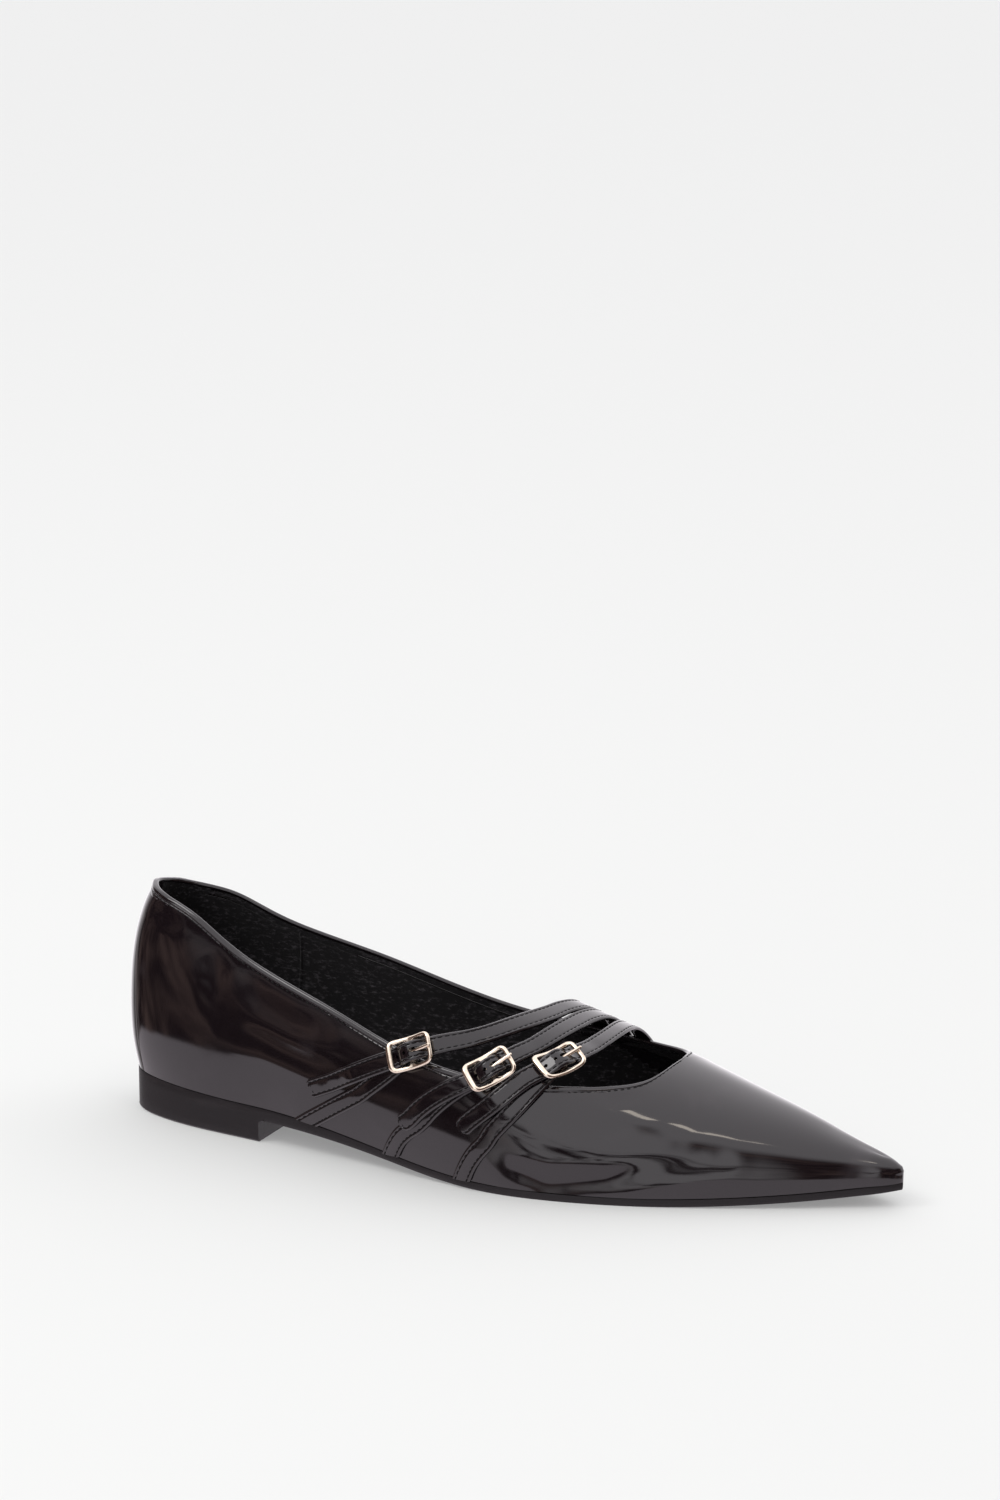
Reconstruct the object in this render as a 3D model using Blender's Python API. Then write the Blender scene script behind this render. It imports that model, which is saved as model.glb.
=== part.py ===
"""Pointed ballet flat for the right foot, with three buckled instep straps.

The toe points along +X, the inner side of the foot is +Y and the floor is z = 0.
The origin lies on the floor under the middle of the heel.
"""

import math
from collections import namedtuple

import bmesh
import bpy
import numpy as np
from mathutils import Matrix, Vector

MM = 0.001

# the last
SHOE_LENGTH = 264 * MM
BALL_WIDTH = 78 * MM
INSTEP_HEIGHT = 74 * MM
HEEL_BACK = 29 * MM       # from the origin back to the heel's rear edge
HEEL_CENTRE = 30 * MM     # the heel's curve turns about a point this far from its rear
TOE_CENTRE = 7 * MM       # and the toe's about one this far from its tip
TOE_SPRING = 5.5 * MM
HEEL_HEIGHT = 14 * MM     # floor to the upper's lower edge at the back
HEEL_FRONT = 26.5 * MM    # from the origin forward to the heel's breast

# leather and sole
WALL = 1.5 * MM
LASTING_MARGIN = 7 * MM
LASTING_THICKNESS = 1.2 * MM
INSOLE_THICKNESS = 1.8 * MM
INSOLE_INSET = 2.6 * MM
SOLE_THICKNESS = 2.5 * MM
SHANK_THICKNESS = 4.2 * MM
SOLE_MARGIN = 0.4 * MM
SOLE_EDGE_ROUND = 0.7 * MM
FIT = 0.3 * MM            # clearance between pieces that touch

# straps and buckles
STRAP_WIDTH = 6.4 * MM
STRAP_THICKNESS = 1.0 * MM
CHAPE_WIDTH = 6.0 * MM
CHAPE_THICKNESS = 0.8 * MM
BUCKLE_LENGTH = 15.6 * MM
BUCKLE_WIDTH = 10.6 * MM
BUCKLE_CORNER = 2.6 * MM
BAR_RADIUS = 0.7 * MM
BAR_FLAT = 0.3 * MM       # how much wider the frame's rear bar is on each side
PRONG_RADIUS = 0.45 * MM
PRONG_PLAY = 0.2 * MM
PRONG_REST = 0.4 * MM      # clearance over the front bar
HOLE_RADIUS = 0.6 * MM
HOLE_PITCH = 3.7 * MM

# parts of the length at which the sole's underside changes
FLAT_FROM, FLAT_TO = 0.58, 0.70
SEAT_SHARE = 0.17
FAN_SHARE = 0.20
TOE_SHARE = 0.15
BELLY_SHARE = 0.22        # part of the wall's run taken by its lower, upright stretch

COLUMNS = 48
RIM_COLUMNS = 37
OUTER_ROWS = 8
INNER_ROWS = 5
THROAT_FOOT = 0.76        # where the throat's middle column stands on the lower edge

# along: share of the length; lateral, medial, crest_y: shares of the ball's width;
# crest_z: share of the instep's height; bulge and belly: the lower wall's swell and rise;
# full_lateral, full_medial: how square the wall's upper curve is
Section = namedtuple("Section", "along lateral medial crest_y crest_z bulge belly full_lateral full_medial")
SECTIONS = (
    Section(0.000, 0.000, 0.000, 0.000, 1.170, 0.08, 0.26, 2.7, 2.7),
    Section(0.012, 0.140, 0.140, 0.000, 1.155, 0.08, 0.26, 2.6, 2.6),
    Section(0.048, 0.222, 0.225, 0.000, 1.120, 0.07, 0.26, 2.4, 2.4),
    Section(0.105, 0.280, 0.285, 0.000, 1.080, 0.05, 0.26, 2.1, 2.1),
    Section(0.190, 0.320, 0.305, 0.010, 1.020, 0.04, 0.27, 2.0, 2.0),
    Section(0.300, 0.372, 0.290, 0.020, 0.950, 0.04, 0.28, 2.0, 2.0),
    Section(0.400, 0.417, 0.292, 0.035, 0.840, 0.04, 0.28, 2.2, 2.2),
    Section(0.500, 0.465, 0.360, 0.055, 0.725, 0.03, 0.30, 2.5, 2.7),
    Section(0.560, 0.473, 0.422, 0.070, 0.648, 0.03, 0.30, 2.4, 2.6),
    Section(0.620, 0.450, 0.480, 0.090, 0.580, 0.03, 0.30, 2.3, 2.2),
    Section(0.700, 0.382, 0.495, 0.115, 0.515, 0.03, 0.30, 2.1, 1.9),
    Section(0.780, 0.282, 0.440, 0.125, 0.430, 0.03, 0.30, 2.0, 1.8),
    Section(0.860, 0.160, 0.340, 0.125, 0.345, 0.03, 0.32, 2.0, 1.85),
    Section(0.930, 0.040, 0.235, 0.125, 0.273, 0.03, 0.35, 2.0, 1.9),
    Section(0.970, -0.030, 0.176, 0.120, 0.235, 0.02, 0.38, 2.0, 2.0),
    Section(0.991, -0.064, 0.140, 0.112, 0.215, 0.02, 0.40, 2.0, 2.0),
    Section(1.000, -0.104, 0.104, 0.104, 0.205, 0.02, 0.40, 2.0, 2.0),
)

# the topline, as shares: along the side from heel to toe, and up from lower edge to crest
Rim = namedtuple("Rim", "along lateral medial")
TOPLINE = (
    Rim(0.000, 0.620, 0.620),
    Rim(0.050, 0.640, 0.612),
    Rim(0.110, 0.645, 0.634),
    Rim(0.170, 0.602, 0.602),
    Rim(0.230, 0.546, 0.568),
    Rim(0.290, 0.505, 0.550),
    Rim(0.350, 0.477, 0.546),
    Rim(0.410, 0.449, 0.528),
    Rim(0.480, 0.434, 0.474),
    Rim(0.550, 0.486, 0.488),
    Rim(0.610, 0.573, 0.560),
    Rim(0.660, 0.650, 0.640),
    Rim(0.690, 0.725, 0.745),
    Rim(0.704, 0.850, 0.870),
    Rim(0.708, 1.000, 1.000),
)

# a strap's middle line, from its free end on the outer side to its foot on the inner side;
# up runs from 0 at the outer lower edge through 1 at the crest to 2 at the inner lower edge
Place = namedtuple("Place", "along up")
Strap = namedtuple("Strap", "name buckle_at round_end settle route chape")
STRAPS = (
    Strap("1", 3, 0.2, 23 * MM, (
        Place(0.311, 0.160), Place(0.361, 0.275), Place(0.409, 0.380), Place(0.444, 0.455),
        Place(0.474, 0.535), Place(0.514, 0.665), Place(0.541, 0.820), Place(0.560, 1.000),
        Place(0.566, 1.200), Place(0.569, 1.450), Place(0.580, 1.700), Place(0.594, 2.000),
    ), (
        Place(0.302, 0.000), Place(0.336, 0.100), Place(0.379, 0.235), Place(0.419, 0.365),
        Place(0.444, 0.455), Place(0.474, 0.535),
    )),
    Strap("2", 3, 0.8, 60 * MM, (
        Place(0.435, 0.185), Place(0.474, 0.300), Place(0.514, 0.420), Place(0.539, 0.520),
        Place(0.555, 0.625), Place(0.570, 0.740), Place(0.581, 0.885), Place(0.587, 1.020),
        Place(0.591, 1.200), Place(0.595, 1.450), Place(0.606, 1.700), Place(0.620, 2.000),
    ), (
        Place(0.416, 0.000), Place(0.431, 0.110), Place(0.459, 0.215), Place(0.511, 0.400),
        Place(0.539, 0.520), Place(0.555, 0.625),
    )),
    Strap("3", 3, 0.6, 22 * MM, (
        Place(0.513, 0.235), Place(0.559, 0.430), Place(0.586, 0.595), Place(0.604, 0.685),
        Place(0.616, 0.785), Place(0.623, 0.890), Place(0.625, 1.020), Place(0.621, 1.200),
        Place(0.622, 1.450), Place(0.632, 1.700), Place(0.646, 2.000),
    ), (
        Place(0.511, 0.000), Place(0.521, 0.090), Place(0.536, 0.185), Place(0.554, 0.275),
        Place(0.574, 0.390), Place(0.593, 0.560), Place(0.604, 0.685), Place(0.616, 0.785),
    )),
)


class Spline:
    """Cubic curve with even bending through values at knots; a period closes it."""

    def __init__(self, knots, values, period=None):
        self.knots = np.asarray(knots, float)
        self.values = np.asarray(values, float)
        self.period = period
        count = len(self.knots)
        ends = self.knots[0] + period if period else self.knots[-1] + 1
        self.step = np.diff(np.append(self.knots, ends))
        shape = (-1,) + (1,) * (self.values.ndim - 1)
        slope = (np.roll(self.values, -1, axis=0) - self.values) / self.step.reshape(shape)
        system = np.zeros((count, count))
        load = np.zeros_like(self.values)
        for k in range(count):
            if period is None and k in (0, count - 1):
                system[k, k] = 1
                continue
            system[k, k - 1] += self.step[k - 1]
            system[k, k] += 2 * (self.step[k - 1] + self.step[k])
            system[k, (k + 1) % count] += self.step[k]
            load[k] = 6 * (slope[k] - slope[k - 1])
        self.bend = np.linalg.solve(system, load)
        self.slope = slope

    def __call__(self, at):
        at = np.asarray(at, float)
        first = self.knots[0]
        last = len(self.knots) - 1 if self.period else len(self.knots) - 2
        if self.period:
            at = np.mod(at - first, self.period) + first
        k = np.clip(np.searchsorted(self.knots, at, side="right") - 1, 0, last)
        after = (k + 1) % len(self.knots)
        column = (...,) + (None,) * (self.values.ndim - 1)
        t, step = (at - self.knots[k])[column], self.step[k][column]
        start = self.slope[k] - step * (2 * self.bend[k] + self.bend[after]) / 6
        turn = self.bend[k] / 2 + t * (self.bend[after] - self.bend[k]) / (6 * step)
        return self.values[k] + t * (start + t * turn)


def ease(t):
    t = np.clip(t, 0, 1)
    return t * t * (3 - 2 * t)


def smoother(t):
    t = np.clip(t, 0, 1)
    return t ** 3 * (10 - 15 * t + 6 * t * t)


def length_share(x):
    return (x + HEEL_BACK) / SHOE_LENGTH


def feather_height(x):
    """Height of the edge between upper and sole above the floor."""
    share = length_share(x)
    heel = smoother((FLAT_FROM - share) / (FLAT_FROM - SEAT_SHARE))
    seat = np.clip((SEAT_SHARE - share) / SEAT_SHARE, 0, 1)
    toe = np.clip((share - FLAT_TO) / (1 - FLAT_TO), 0, 1) ** 2
    ball = FIT + SOLE_THICKNESS
    return ball + (HEEL_HEIGHT - ball) * (0.82 * heel + 0.18 * seat) + TOE_SPRING * toe


def sole_thickness(x):
    shank = ease((0.42 - length_share(x)) / 0.22)
    return SOLE_THICKNESS + (SHANK_THICKNESS - SOLE_THICKNESS) * shank


class Last:
    """The outer surface of the upper, carried on over the opening as the foot would fill it.

    A place on it is (turn, up): turn runs once round the lower edge from the heel, over the
    outer side to the toe at 1 and back over the inner side to 2, and up from 0 to the crest at 1.
    """

    def __init__(self):
        rows = SECTIONS
        x = np.array([row.along * SHOE_LENGTH - HEEL_BACK for row in rows])
        lateral = np.stack([x, [-row.lateral * BALL_WIDTH for row in rows]], 1)
        medial = np.stack([x, [row.medial * BALL_WIDTH for row in rows]], 1)
        run = [np.hypot(*np.diff(side, axis=0).T) for side in (lateral, medial)]
        knots = np.concatenate([[0], np.cumsum(run[0] + run[1])])
        knots = knots / knots[-1]
        loop = np.concatenate([knots, 2 - knots[-2:0:-1]])

        def closed(outer, inner):
            return Spline(loop, np.concatenate([outer, inner[-2:0:-1]]), 2.0)

        def column(name):
            return np.array([getattr(row, name) for row in rows])

        self.outline = closed(lateral, medial)
        self.fullness = closed(column("full_lateral"), column("full_medial"))
        self.crest_y = closed(column("crest_y") * BALL_WIDTH, column("crest_y") * BALL_WIDTH)
        self.crest_z = closed(column("crest_z") * INSTEP_HEIGHT, column("crest_z") * INSTEP_HEIGHT)
        self.bulge = closed(column("bulge"), column("bulge"))
        self.belly = closed(column("belly"), column("belly"))

    def crest(self, turn):
        """The point above which the two sides of a section meet."""
        along = np.where(turn > 1, 2 - turn, turn)
        middle = (self.outline(along)[..., 0] + self.outline(2 - along)[..., 0]) / 2
        share = length_share(middle)
        x = middle + HEEL_CENTRE * ease(1 - share / FAN_SHARE) - TOE_CENTRE * ease((share - 1) / TOE_SHARE + 1)
        return np.stack([x, self.crest_y(along), self.crest_z(along)], -1)

    def edge(self, turn, inward=0.0, share=0.0):
        """Plan point of the lower edge, moved inward by a length or by a share of the way."""
        outline = self.outline(turn)
        way = self.crest(turn)[..., :2] - outline
        reach = np.hypot(way[..., 0], way[..., 1])
        part = np.minimum(np.maximum(inward / reach, share), 1)
        return outline + way * part[..., None]

    def point(self, turn, up):
        turn, up = np.broadcast_arrays(np.asarray(turn, float), np.asarray(up, float))
        crest = self.crest(turn)
        foot = self.outline(turn)
        base = feather_height(foot[..., 0])
        rise = crest[..., 2] - base
        belly = self.belly(turn) * rise
        low = np.clip(up / BELLY_SHARE, 0, 1)
        high = np.clip((up - BELLY_SHARE) / (1 - BELLY_SHARE), 0, 1) * math.pi / 2
        power = 2 / self.fullness(turn)
        swell = 1 + self.bulge(turn)
        reach = np.where(up < BELLY_SHARE, 1 + self.bulge(turn) * (1 - (1 - low) ** 2),
                         swell * np.cos(high) ** power)
        height = np.where(up < BELLY_SHARE, belly * low, belly + (rise - belly) * np.sin(high) ** power)
        plan = crest[..., :2] + (foot - crest[..., :2]) * reach[..., None]
        return np.concatenate([plan, (base + height)[..., None]], -1)

    def normal(self, turn, up):
        turn, up = np.broadcast_arrays(np.asarray(turn, float), np.asarray(up, float))
        nudge = 1e-4
        above, below = np.minimum(up + nudge, 0.9995), np.maximum(np.minimum(up, 0.9994) - nudge, 0)
        round_way = self.point(turn + nudge, up * 0.999) - self.point(turn - nudge, up * 0.999)
        up_way = self.point(turn, above) - self.point(turn, below)
        across = np.cross(round_way, up_way)
        return across / np.linalg.norm(across, axis=-1, keepdims=True)

    def place(self, along, up):
        """A place given along one side, with up from 0 over the crest to 2, as (turn, up)."""
        along, up = np.broadcast_arrays(np.asarray(along, float), np.asarray(up, float))
        return np.where(up > 1, 2 - along, along), np.where(up > 1, 2 - up, up)


LAST = Last()


class Skin:
    """Collects the vertices and faces of one closed piece."""

    def __init__(self):
        self.bm = bmesh.new()
        self.known = {}

    def vertex(self, key, place):
        if key not in self.known:
            self.known[key] = self.bm.verts.new(Vector([float(v) for v in place]))
        return self.known[key]

    def strip(self, lower, upper, closed=False):
        count = len(lower)
        for k in range(count if closed else count - 1):
            corners = [lower[k], lower[(k + 1) % count], upper[(k + 1) % count], upper[k]]
            self.face(corners)

    def face(self, corners):
        distinct = [v for k, v in enumerate(corners) if v is not corners[k - 1]]
        if len(set(distinct)) > 2:
            self.bm.faces.new(distinct)

    def finish(self, name, finish, sharp_angle=40):
        bmesh.ops.recalc_face_normals(self.bm, faces=self.bm.faces)
        bmesh.ops.triangulate(self.bm, faces=self.bm.faces)
        if self.bm.calc_volume(signed=True) < 0:
            bmesh.ops.reverse_faces(self.bm, faces=self.bm.faces)
        mesh = bpy.data.meshes.new(name)
        self.bm.to_mesh(mesh)
        self.bm.free()
        mesh.shade_smooth()
        mesh.set_sharp_from_angle(angle=math.radians(sharp_angle))
        mesh.materials.append(finish)
        piece = bpy.data.objects.new(name, mesh)
        bpy.context.scene.collection.objects.link(piece)
        return piece


def finish_named(name, colour, roughness, metallic=0.0):
    material = bpy.data.materials.new(name)
    material.use_nodes = True
    shader = material.node_tree.nodes["Principled BSDF"]
    shader.inputs["Base Color"].default_value = (*colour, 1)
    shader.inputs["Roughness"].default_value = roughness
    shader.inputs["Metallic"].default_value = metallic
    return material


# the upper

def turns(count):
    """Pairs of (position in the ring, share along the side) once round from the heel."""
    return [(k, k if k <= count else 2 * count - k) for k in range(2 * count)]


def topline_curve():
    """The topline as a closed curve: outer side, throat, inner side."""
    rows = TOPLINE
    outer = np.array([(row.along, row.lateral) for row in rows])
    inner = np.array([(2 - row.along, row.medial) for row in rows])
    scale = np.array([SHOE_LENGTH, INSTEP_HEIGHT])
    run = [np.hypot(*(np.diff(side, axis=0) * scale).T) for side in (outer, inner)]
    knots = np.concatenate([[0], np.cumsum(run[0] + run[1])])
    knots = knots / knots[-1]
    loop = np.concatenate([knots, 2 - knots[-2:0:-1]])
    up = Spline(loop, np.concatenate([outer[:, 1], inner[-2:0:-1, 1]]), 2.0)
    along = Spline(loop, np.concatenate([outer[:, 0], outer[-2:0:-1, 0]]), 2.0)
    return along, up


def upper_columns():
    """For each column of the ring: its foot on the lower edge and its head, both as (turn, up)."""
    along, up = topline_curve()
    columns = []
    for k, i in turns(COLUMNS):
        medial = k > COLUMNS
        if i <= RIM_COLUMNS:
            t = i / RIM_COLUMNS
            foot, head = THROAT_FOOT * t, float(along(t))
            height = float(up(2 - t if medial else t))
        else:
            t = (i - RIM_COLUMNS) / (COLUMNS - RIM_COLUMNS)
            throat = TOPLINE[-1].along
            foot, head, height = THROAT_FOOT + (1 - THROAT_FOOT) * t, throat + (1 - throat) * t, 1.0
        columns.append((2 - foot if medial else foot, 2 - head if medial else head, height))
    return columns


def upper_row(columns, share, depth, start=None):
    """Points of one row, a share of the way up each column and a depth under the outer skin."""
    foot, head, height = np.array(columns).T
    low = np.zeros_like(foot) if start is None else start
    level = low / height + (1 - low / height) * share
    turn = foot + (head - foot) * level
    up = height * level
    return LAST.point(turn, up) - LAST.normal(turn, up) * depth


def make_upper(leather):
    skin = Skin()
    columns = upper_columns()
    ring = turns(COLUMNS)

    def row(name, points, joined):
        """joined: forward of the throat the two sides share this row's vertices."""
        return [skin.vertex((name, i if joined and i >= RIM_COLUMNS else k), points[i if joined and
                i >= RIM_COLUMNS else k]) for k, i in ring]

    feet = np.array([column[0] for column in columns])
    crest = LAST.crest(feet)[:, 2]
    belly = LAST.belly(feet) * (crest - feather_height(LAST.outline(feet)[:, 0]))
    inner_start = BELLY_SHARE * 0.7 * LASTING_THICKNESS / belly

    outer = [row(("out", j), upper_row(columns, j / OUTER_ROWS, 0), j == OUTER_ROWS)
             for j in range(OUTER_ROWS + 1)]
    inner = [row(("in", j), upper_row(columns, j / INNER_ROWS, WALL, inner_start), j == INNER_ROWS)
             for j in range(INNER_ROWS + 1)]
    for rows in (outer, inner):
        for lower, upper in zip(rows, rows[1:]):
            skin.strip(lower, upper, closed=True)

    # the rounded top edge of the wall, which stands half a wall above the topline
    skin_out = upper_row(columns, 1.0, 0)
    skin_in = upper_row(columns, 1.0, WALL, inner_start)
    rise = skin_out - upper_row(columns, 0.97, 0)
    rise /= np.linalg.norm(rise, axis=1, keepdims=True)
    rim = [k for k, i in ring if i <= RIM_COLUMNS and k != 2 * COLUMNS - RIM_COLUMNS]
    arcs = [[outer[-1][k] for k in rim]]
    for share, lift in ((0.2, 0.3), (0.5, 0.42), (0.8, 0.3)):
        points = skin_out + (skin_in - skin_out) * share + rise * WALL * lift
        arcs.append([skin.vertex((("rim", share), k), points[k]) for k in rim])
    arcs.append([inner[-1][k] for k in rim])
    for lower, upper in zip(arcs, arcs[1:]):
        skin.strip(lower, upper, closed=True)

    # the lasting margin, turned in under the foot
    inset = np.minimum(LASTING_MARGIN, 0.45 * np.hypot(*(LAST.crest(feet)[:, :2] - LAST.outline(feet)).T))
    plan = LAST.edge(feet, inset)
    base = feather_height(plan[:, 0])
    under = [np.column_stack([plan, base]), np.column_stack([plan, base + LASTING_THICKNESS])]
    levels = [outer[0]]
    levels += [row(("under", j), points, False) for j, points in enumerate(under)]
    levels.append(inner[0])
    for lower, upper in zip(levels, levels[1:]):
        skin.strip(lower, upper, closed=True)
    return skin.finish("upper", leather)


# sole and insole

def side_stations(back_count, front_count):
    """Shares along the side, with one exactly at the heel's breast."""
    fine = np.linspace(0, 1, 2001)
    middle = (LAST.outline(fine)[:, 0] + LAST.outline(2 - fine)[:, 0]) / 2
    breast = float(np.interp(HEEL_FRONT, middle, fine))
    back = np.linspace(0, breast, back_count + 1)
    front = breast + (1 - breast) * np.linspace(0, 1, front_count + 1) ** 0.95
    return np.concatenate([back, front[1:]])


def make_sole_unit(rubber):
    """Outsole and heel block, moulded as one."""
    back_count, front_count = 13, 27
    stations = side_stations(back_count, front_count)
    count = len(stations) - 1
    ring = turns(count)
    skin = Skin()

    def plan(k, i, inward, share=0.0):
        turn = 2 - stations[i] if k > count else stations[i]
        x, y = LAST.edge(np.array(turn), inward, share)
        return (HEEL_FRONT if i == back_count else float(x)), float(y)

    def vertex(name, k, i, inward, height, share=0.0):
        x, y = plan(k, i, inward, share)
        key = (name, i) if share == 1.0 else (name, k)
        return skin.vertex(key, (x, y, height(x)))

    def top(x):
        return float(feather_height(x)) - FIT

    def underside(x):
        return top(x) - float(sole_thickness(x))

    def shoulder(x):
        return underside(x) + SOLE_EDGE_ROUND

    def row(name, path, inward, height, share=0.0):
        return [vertex(name, k, i, inward, height, share) for k, i in path]

    around = ring
    heel = [(k, i) for k, i in ring if k > count and i <= back_count] + \
           [(k, i) for k, i in ring if k <= count and i <= back_count]
    fore = [(k, i) for k, i in ring if i >= back_count]

    edge_top = row("edge", around, -SOLE_MARGIN, top)
    edge_low = row("low", around, -SOLE_MARGIN, shoulder)
    skin.strip(edge_low, edge_top, closed=True)
    half_top = row("top half", around, 0, top, 0.5)
    spine_top = row("top spine", around, 0, top, 1.0)
    skin.strip(edge_top, half_top, closed=True)
    skin.strip(half_top, spine_top, closed=True)

    # the waist and forepart, from the breast forward
    fore_rows = [row("low", fore, -SOLE_MARGIN, shoulder),
                 row("fore edge", fore, SOLE_EDGE_ROUND - SOLE_MARGIN, underside),
                 row("fore half", fore, 0, underside, 0.5),
                 row("fore spine", fore, 0, underside, 1.0)]
    for lower, upper in zip(fore_rows, fore_rows[1:]):
        skin.strip(lower, upper)

    # the heel block, down to the floor
    heel_rows = [row("low", heel, -SOLE_MARGIN, shoulder),
                 row("heel side", heel, 0, lambda x: SOLE_EDGE_ROUND),
                 row("heel edge", heel, SOLE_EDGE_ROUND, lambda x: 0.0),
                 row("heel half", heel, 0, lambda x: 0.0, 0.5),
                 row("heel spine", heel, 0, lambda x: 0.0, 1.0)]
    for lower, upper in zip(heel_rows, heel_rows[1:]):
        skin.strip(lower, upper)

    # the breast, a flat face across the front of the heel
    skin.face([heel_rows[j][-1] for j in range(5)] + [heel_rows[j][0] for j in (3, 2, 1, 0)] +
              [fore_rows[j][-1] for j in (1, 2, 3)] + [fore_rows[j][0] for j in (2, 1)])
    return skin.finish("sole_unit", rubber, 35)


def make_insole(suede):
    """The sock that the foot stands on, lying on the lasting margin inside the wall."""
    count = 30
    stations = np.linspace(0, 1, count + 1)
    ring = turns(count)
    skin = Skin()

    def row(name, lift, inward, share=0.0):
        vertices = []
        for k, i in ring:
            turn = 2 - stations[i] if k > count else stations[i]
            x, y = LAST.edge(np.array(turn), inward, share)
            height = float(feather_height(x)) + LASTING_THICKNESS + FIT + lift
            key = (name, i) if share == 1.0 else (name, k)
            vertices.append(skin.vertex(key, (x, y, height)))
        return vertices

    rows = [row("bottom spine", 0, 0, 1.0),
            row("bottom inner", 0, 0, 0.62),
            row("bottom outer", 0, 0, 0.3),
            row("bottom", 0, INSOLE_INSET),
            row("side", 0.7 * INSOLE_THICKNESS, INSOLE_INSET),
            row("top", INSOLE_THICKNESS, INSOLE_INSET + 0.3 * INSOLE_THICKNESS),
            row("top inner", INSOLE_THICKNESS, 0, 0.5),
            row("top spine", INSOLE_THICKNESS, 0, 1.0)]
    for lower, upper in zip(rows, rows[1:]):
        skin.strip(lower, upper, closed=True)
    return skin.finish("insole", suede)


# straps

class Route:
    """A line of places on the last, measured in metres from the buckle."""

    def __init__(self, places, buckle_at):
        table = np.array(places)
        run = np.hypot(*(np.diff(table, axis=0) * (SHOE_LENGTH, INSTEP_HEIGHT)).T)
        knots = np.concatenate([[0], np.cumsum(run)])
        self.curve = Spline(knots, table)
        self.fine = np.linspace(0, knots[-1], 600)
        trail = self.surface(self.fine)[0]
        walked = np.concatenate([[0], np.cumsum(np.linalg.norm(np.diff(trail, axis=0), axis=1))])
        self.walked = walked - np.interp(knots[buckle_at], self.fine, walked)
        self.start, self.end = self.walked[0], self.walked[-1]

    def surface(self, at):
        along, up = self.curve(at).T
        turn, up = LAST.place(along, np.clip(up, 0, 2))
        return LAST.point(turn, up), LAST.normal(turn, up)

    def frame(self, distance):
        """Point, tangent, outward normal and sideways direction at a distance."""
        at = np.interp(distance, self.walked, self.fine)
        point, normal = self.surface(np.atleast_1d(at))
        ahead = np.interp(distance + 0.3 * MM, self.walked, self.fine)
        behind = np.interp(distance - 0.3 * MM, self.walked, self.fine)
        tangent = self.surface(np.atleast_1d(ahead))[0] - self.surface(np.atleast_1d(behind))[0]
        point, normal, tangent = Vector(point[0]), Vector(normal[0]), Vector(tangent[0])
        tangent = (tangent - normal * tangent.dot(normal)).normalized()
        return point, tangent, normal, normal.cross(tangent)


BAR_HEIGHT = 2 * FIT + CHAPE_THICKNESS + BAR_RADIUS
STRAP_UNDER_BAR = 2 * FIT + CHAPE_THICKNESS + 0.1 * MM
STRAP_OVER_BAR = BAR_HEIGHT + BAR_RADIUS + CHAPE_THICKNESS + 2 * FIT
END_BAR_AT = BUCKLE_LENGTH / 2 - BAR_RADIUS
ARCH = STRAP_UNDER_BAR + STRAP_THICKNESS + FIT + BAR_RADIUS - BAR_HEIGHT + 0.3 * MM
SIDE_BAR_AT = BUCKLE_WIDTH / 2 - BAR_RADIUS
EYE_RADIUS = BAR_RADIUS + PRONG_PLAY + PRONG_RADIUS


def strap_height(distance, tail_settle):
    """Clearance between last and strap: over the centre bar, under both end bars, then down."""
    hump = 0.5 + 0.5 * math.cos(math.pi * min(abs(distance) / END_BAR_AT, 1))
    settle = tail_settle if distance < 0 else END_BAR_AT
    away = ease((abs(distance) - settle) / (9 * MM))
    resting = FIT + (STRAP_UNDER_BAR - FIT) * (1 - float(away))
    return resting + (STRAP_OVER_BAR - STRAP_UNDER_BAR) * hump


def spaced(start, end, close, close_step, far_step):
    """Distances from start to end, closer together within a reach of the buckle."""
    marks = [start]
    while marks[-1] < end:
        step = close_step if abs(marks[-1] + close_step) < close else far_step
        marks.append(marks[-1] + step)
    if end - marks[-2] < 0.4 * (marks[-1] - marks[-2]):
        marks.pop()
    marks[-1] = end
    return marks


def band_section(width, thickness, chamfer=0.25 * MM):
    """Half-round-edged cross-section as (sideways, upward) pairs from the underside."""
    half = width / 2
    return [(-half, 0), (half, 0), (half, thickness - chamfer), (half - chamfer, thickness),
            (chamfer - half, thickness), (-half, thickness - chamfer)]


def sweep(skin, rings):
    """Joins rings of vertices into a tube closed at both ends."""
    rows = [[skin.vertex((r, k), place) for k, place in enumerate(ring)] for r, ring in enumerate(rings)]
    for lower, upper in zip(rows, rows[1:]):
        skin.strip(lower, upper, closed=True)
    skin.face(rows[0])
    skin.face(rows[-1])


def foot_slant(route, distance):
    """How far along the band each unit of sideways offset moves its end, to follow the sole."""
    point, tangent, normal, side = route.frame(distance)
    if abs(tangent.z) < 0.3:
        return 0.0
    return max(-1.2, min(1.2, -side.z / tangent.z))


def end_round(distance_to_end, width, roundness):
    """Share of the width left near a rounded end."""
    reach = roundness * width / 2
    if reach == 0 or distance_to_end > reach:
        return 1.0
    gone = 1 - distance_to_end / reach
    return 1 - roundness * 0.85 * (1 - math.sqrt(max(1 - gone * gone, 0)))


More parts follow.
